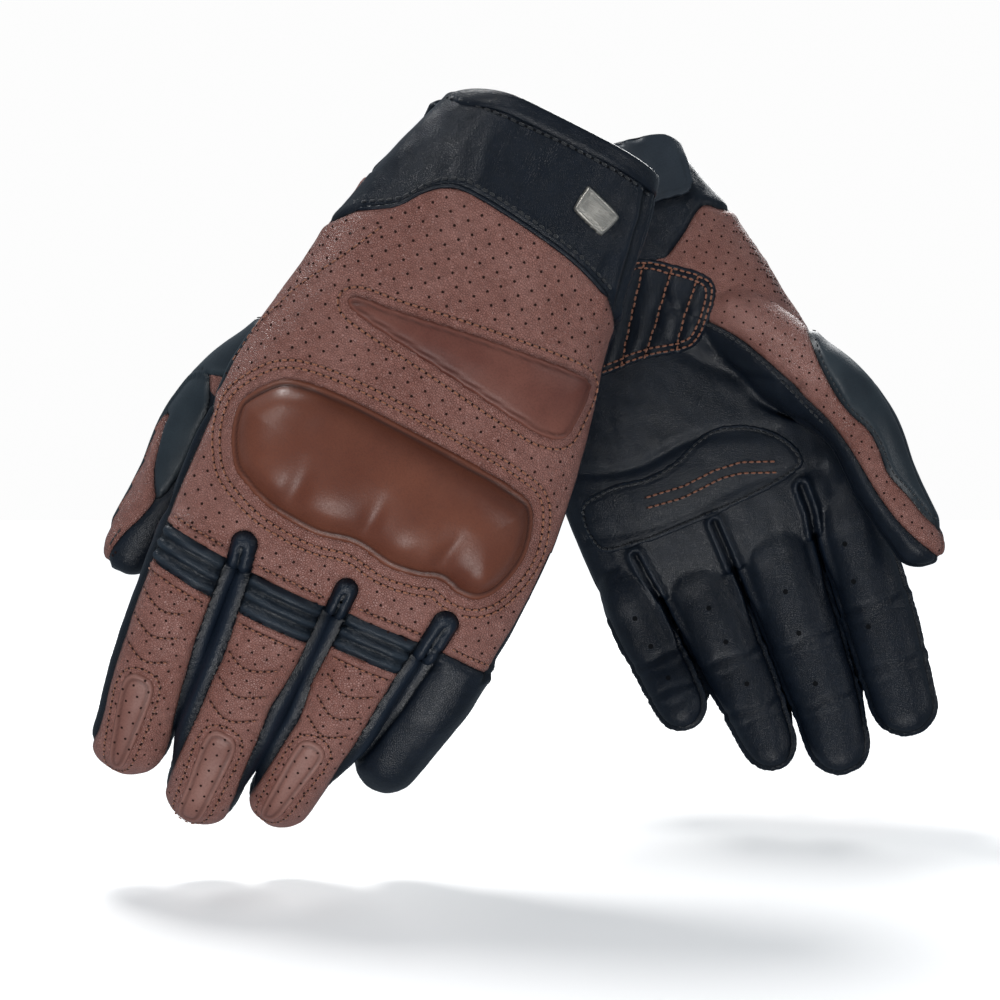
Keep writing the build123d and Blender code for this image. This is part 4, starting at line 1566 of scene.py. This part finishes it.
def loft_piece(name, profile, material, closed, nodes=()):
    """Rings at (v, distance outwards) joined into a sleeve round the mouth."""
    at = np.vstack([hand_ring(v, out) + wobble(v, out) for v, out in profile])
    at[:, 1] += mouth_rise(at[:, 0]) * (1 - rise(at[:, 1], -9, 30))
    n, count = RING_POINTS, len(profile)
    faces = sleeve(count, n, closed)
    if not closed:
        last = (count - 1) * n
        faces += [(last, last + k, last + k + 1) for k in range(1, n - 1)]
    PIECES.append(Piece(name, at, np.array(faces)[:, ::-1], material, "hand", nodes=nodes))


def wobble(v, out):
    turn = np.linspace(0, 2 * math.pi, RING_POINTS, endpoint=False)
    swell = 0.35 * np.sin(3 * turn + v * 0.05) + 0.25 * np.sin(7 * turn + 1.3 + v * 0.11)
    return np.outer(swell, [0, 0, 1]) * (1 if out > -2 else 1.5)


BINDING = [
    (-9.4, 0.1), (-9.6, 0.9), (-11.5, 1.25), (-13.8, 1.3), (-15.2, 0.9), (-15.6, 0), (-15.2, -1.2),
    (-13.8, -1.8), (-9.4, -1.8),
]
loft_piece("cuff_binding", BINDING, "black", True, nodes=("cuff_binding",))
LINING = [
    (-13.6, -1.9), (-6, -2.4), (10, -2.8), (30, -3.0), (55, -3.2), (80, -3.4), (105, -3.6), (124, -4),
    (134, -6), (139, -9),
]
loft_piece("lining", LINING, "knit", False, nodes=("lining",))


# ------------------------------------------------ the two gloves in the row frame
GRAIN_SHIFT = {"front": [0, 0, 0], "rear": [310, 70, 0]}  # so that the two gloves' grain differs


def place_piece(piece, side):
    to_row = np.array(PLACES[side])
    mesh = bpy.data.meshes.new(f"{side}_{piece.name}")
    at = piece.at @ to_row[:3, :3].T + to_row[:3, 3]
    faces = np.asarray(piece.faces)
    mesh.vertices.add(len(at))
    mesh.vertices.foreach_set("co", at.ravel())
    mesh.loops.add(faces.size)
    mesh.loops.foreach_set("vertex_index", faces.ravel())
    mesh.polygons.add(len(faces))
    mesh.polygons.foreach_set("loop_start", np.arange(0, faces.size, faces.shape[1]))
    mesh.polygons.foreach_set("use_smooth", np.ones(len(faces), bool))
    mesh.update(calc_edges=True)
    rest = mesh.attributes.new("rest", "FLOAT_VECTOR", "POINT")
    rest.data.foreach_set("vector", (piece.rest + GRAIN_SHIFT[side]).ravel())
    # painted shade and worn share, stored for the materials
    for name, values in (("painted_shade", piece.painted_shade), ("high", piece.high)):
        attribute = mesh.attributes.new(name, "FLOAT", "POINT")
        attribute.data.foreach_set("value", np.asarray(values, float).ravel())
    if piece.shading is not None:
        turned = piece.shading @ (to_row[:3, :3].T / MM)
        mesh.normals_split_custom_set_from_vertices(turned.tolist())
    mesh.materials.append(MATERIALS[piece.material])
    obj = bpy.data.objects.new(f"{side}_{piece.name}", mesh)
    bpy.context.scene.collection.objects.link(obj)
    a, b, start, end = ZONES[piece.zone]
    if b:
        start, end = tuple(PLACES[side] @ start), tuple(PLACES[side] @ end)
        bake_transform(obj)
    else:
        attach(obj, f"{side}_{a}")
    if piece.nodes:
        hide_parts(*(f"{side}_{n}" for n in piece.nodes))


for glove in SIDES:
    for item in PIECES:
        place_piece(item, glove)

# ------------------------------------------------ floor, light and camera
FLOOR, FLOOR_REACH = -0.2395, 9
DOME_RADIUS, DOME_SIDES, DOME_LEVELS = 12.0, 24, 8


def stage_piece(name, at, faces, material):
    """A part of the studio: the camera sees it, but it throws no light back on the gloves."""
    mesh = bpy.data.meshes.new(name)
    mesh.from_pydata(at, [], faces)
    mesh.materials.append(material)
    obj = bpy.data.objects.new(name, mesh)
    obj.visible_diffuse = obj.visible_glossy = obj.visible_shadow = False
    bpy.context.scene.collection.objects.link(obj)


floor_material, floor_tree, floor_shader = nodes_of("pale floor", 0.9, 0.0)
floor_shader.inputs["Base Color"].default_value = (0.86, 0.85, 0.84, 1)
floor_shader.inputs["Emission Color"].default_value = (1, 1, 1, 1)
place = floor_tree.nodes.new("ShaderNodeNewGeometry")
reach = floor_tree.nodes.new("ShaderNodeVectorMath")
reach.operation = "LENGTH"
glow = floor_tree.nodes.new("ShaderNodeMapRange")
glow.interpolation_type = "SMOOTHSTEP"
for socket, value in (("From Min", 0.2), ("From Max", 1.4), ("To Min", 0.3), ("To Max", 0.9)):
    glow.inputs[socket].default_value = value
floor_tree.links.new(place.outputs["Position"], reach.inputs[0])
floor_tree.links.new(reach.outputs["Value"], glow.inputs["Value"])
floor_tree.links.new(glow.outputs["Result"], floor_shader.inputs["Emission Strength"])
floor_at = [(x * FLOOR_REACH, y * FLOOR_REACH, FLOOR) for x, y in ((-1, -1), (1, -1), (1, 1), (-1, 1))]
stage_piece("floor", floor_at, [(0, 1, 2, 3)], floor_material)

dome_material, dome_tree, dome_shader = nodes_of("white backdrop", 1.0, 0.0)
dome_shader.inputs["Base Color"].default_value = (0, 0, 0, 1)
dome_shader.inputs["Emission Color"].default_value = (1, 1, 1, 1)
dome_shader.inputs["Emission Strength"].default_value = 0.98
dome_cos, dome_sin = circle(DOME_SIDES)
dome_at = [
    (DOME_RADIUS * x * math.cos(e), DOME_RADIUS * y * math.cos(e), DOME_RADIUS * math.sin(e))
    for e in np.linspace(-0.2, math.pi / 2 - 0.01, DOME_LEVELS)
    for x, y in zip(dome_cos, dome_sin)
]
dome_faces = [
    (r + k, r + (k + 1) % DOME_SIDES, r + DOME_SIDES + (k + 1) % DOME_SIDES, r + DOME_SIDES + k)
    for r in range(0, (DOME_LEVELS - 1) * DOME_SIDES, DOME_SIDES)
    for k in range(DOME_SIDES)
]
stage_piece("backdrop", dome_at, dome_faces, dome_material)

world = bpy.data.worlds.new("studio")
world.use_nodes = True
world.node_tree.nodes["Background"].inputs["Color"].default_value = (0.74, 0.87, 1, 1)
world.node_tree.nodes["Background"].inputs["Strength"].default_value = 0.3
bpy.context.scene.world = world


def area_light(name, place, aim, size, power):
    light = bpy.data.lights.new(name, "AREA")
    light.shape, light.size, light.energy = "DISK", size, power
    obj = bpy.data.objects.new(name, light)
    obj.location = place
    obj.rotation_euler = (Vector(aim) - Vector(place)).to_track_quat("-Z", "Y").to_euler()
    bpy.context.scene.collection.objects.link(obj)


area_light("key", (-0.42, -0.8, 0.5), (0.02, 0, -0.14), 0.25, 3.4)
area_light("fill", (0.85, -0.7, 0.1), (0.02, 0.05, -0.12), 0.35, 1.8)
area_light("back", (0.3, 0.85, 0.5), (0.05, 0.05, -0.1), 0.5, 4.5)
area_light("top", (-0.3, 0.3, 1.05), (0.0, 0.05, -0.2), 0.35, 9)
area_light("low", (-0.12, -0.58, -0.56), (-0.05, 0.0, -0.17), 0.4, 3.2)

CAMERA_AT = (-0.0184, -0.5, -0.1158)
SEEN_WIDTH, SENSOR = 0.3125, 36.0  # metres across at the front glove, and the sensor in mm
camera_data = bpy.data.cameras.new("camera")
camera_data.sensor_width = SENSOR
camera_data.lens = SENSOR * -CAMERA_AT[1] / SEEN_WIDTH
camera = bpy.data.objects.new("camera", camera_data)
camera.location = CAMERA_AT
camera.rotation_euler = (math.radians(90), 0, 0)
bpy.context.scene.collection.objects.link(camera)
bpy.context.scene.camera = camera
bpy.context.scene.view_settings.view_transform = "Standard"
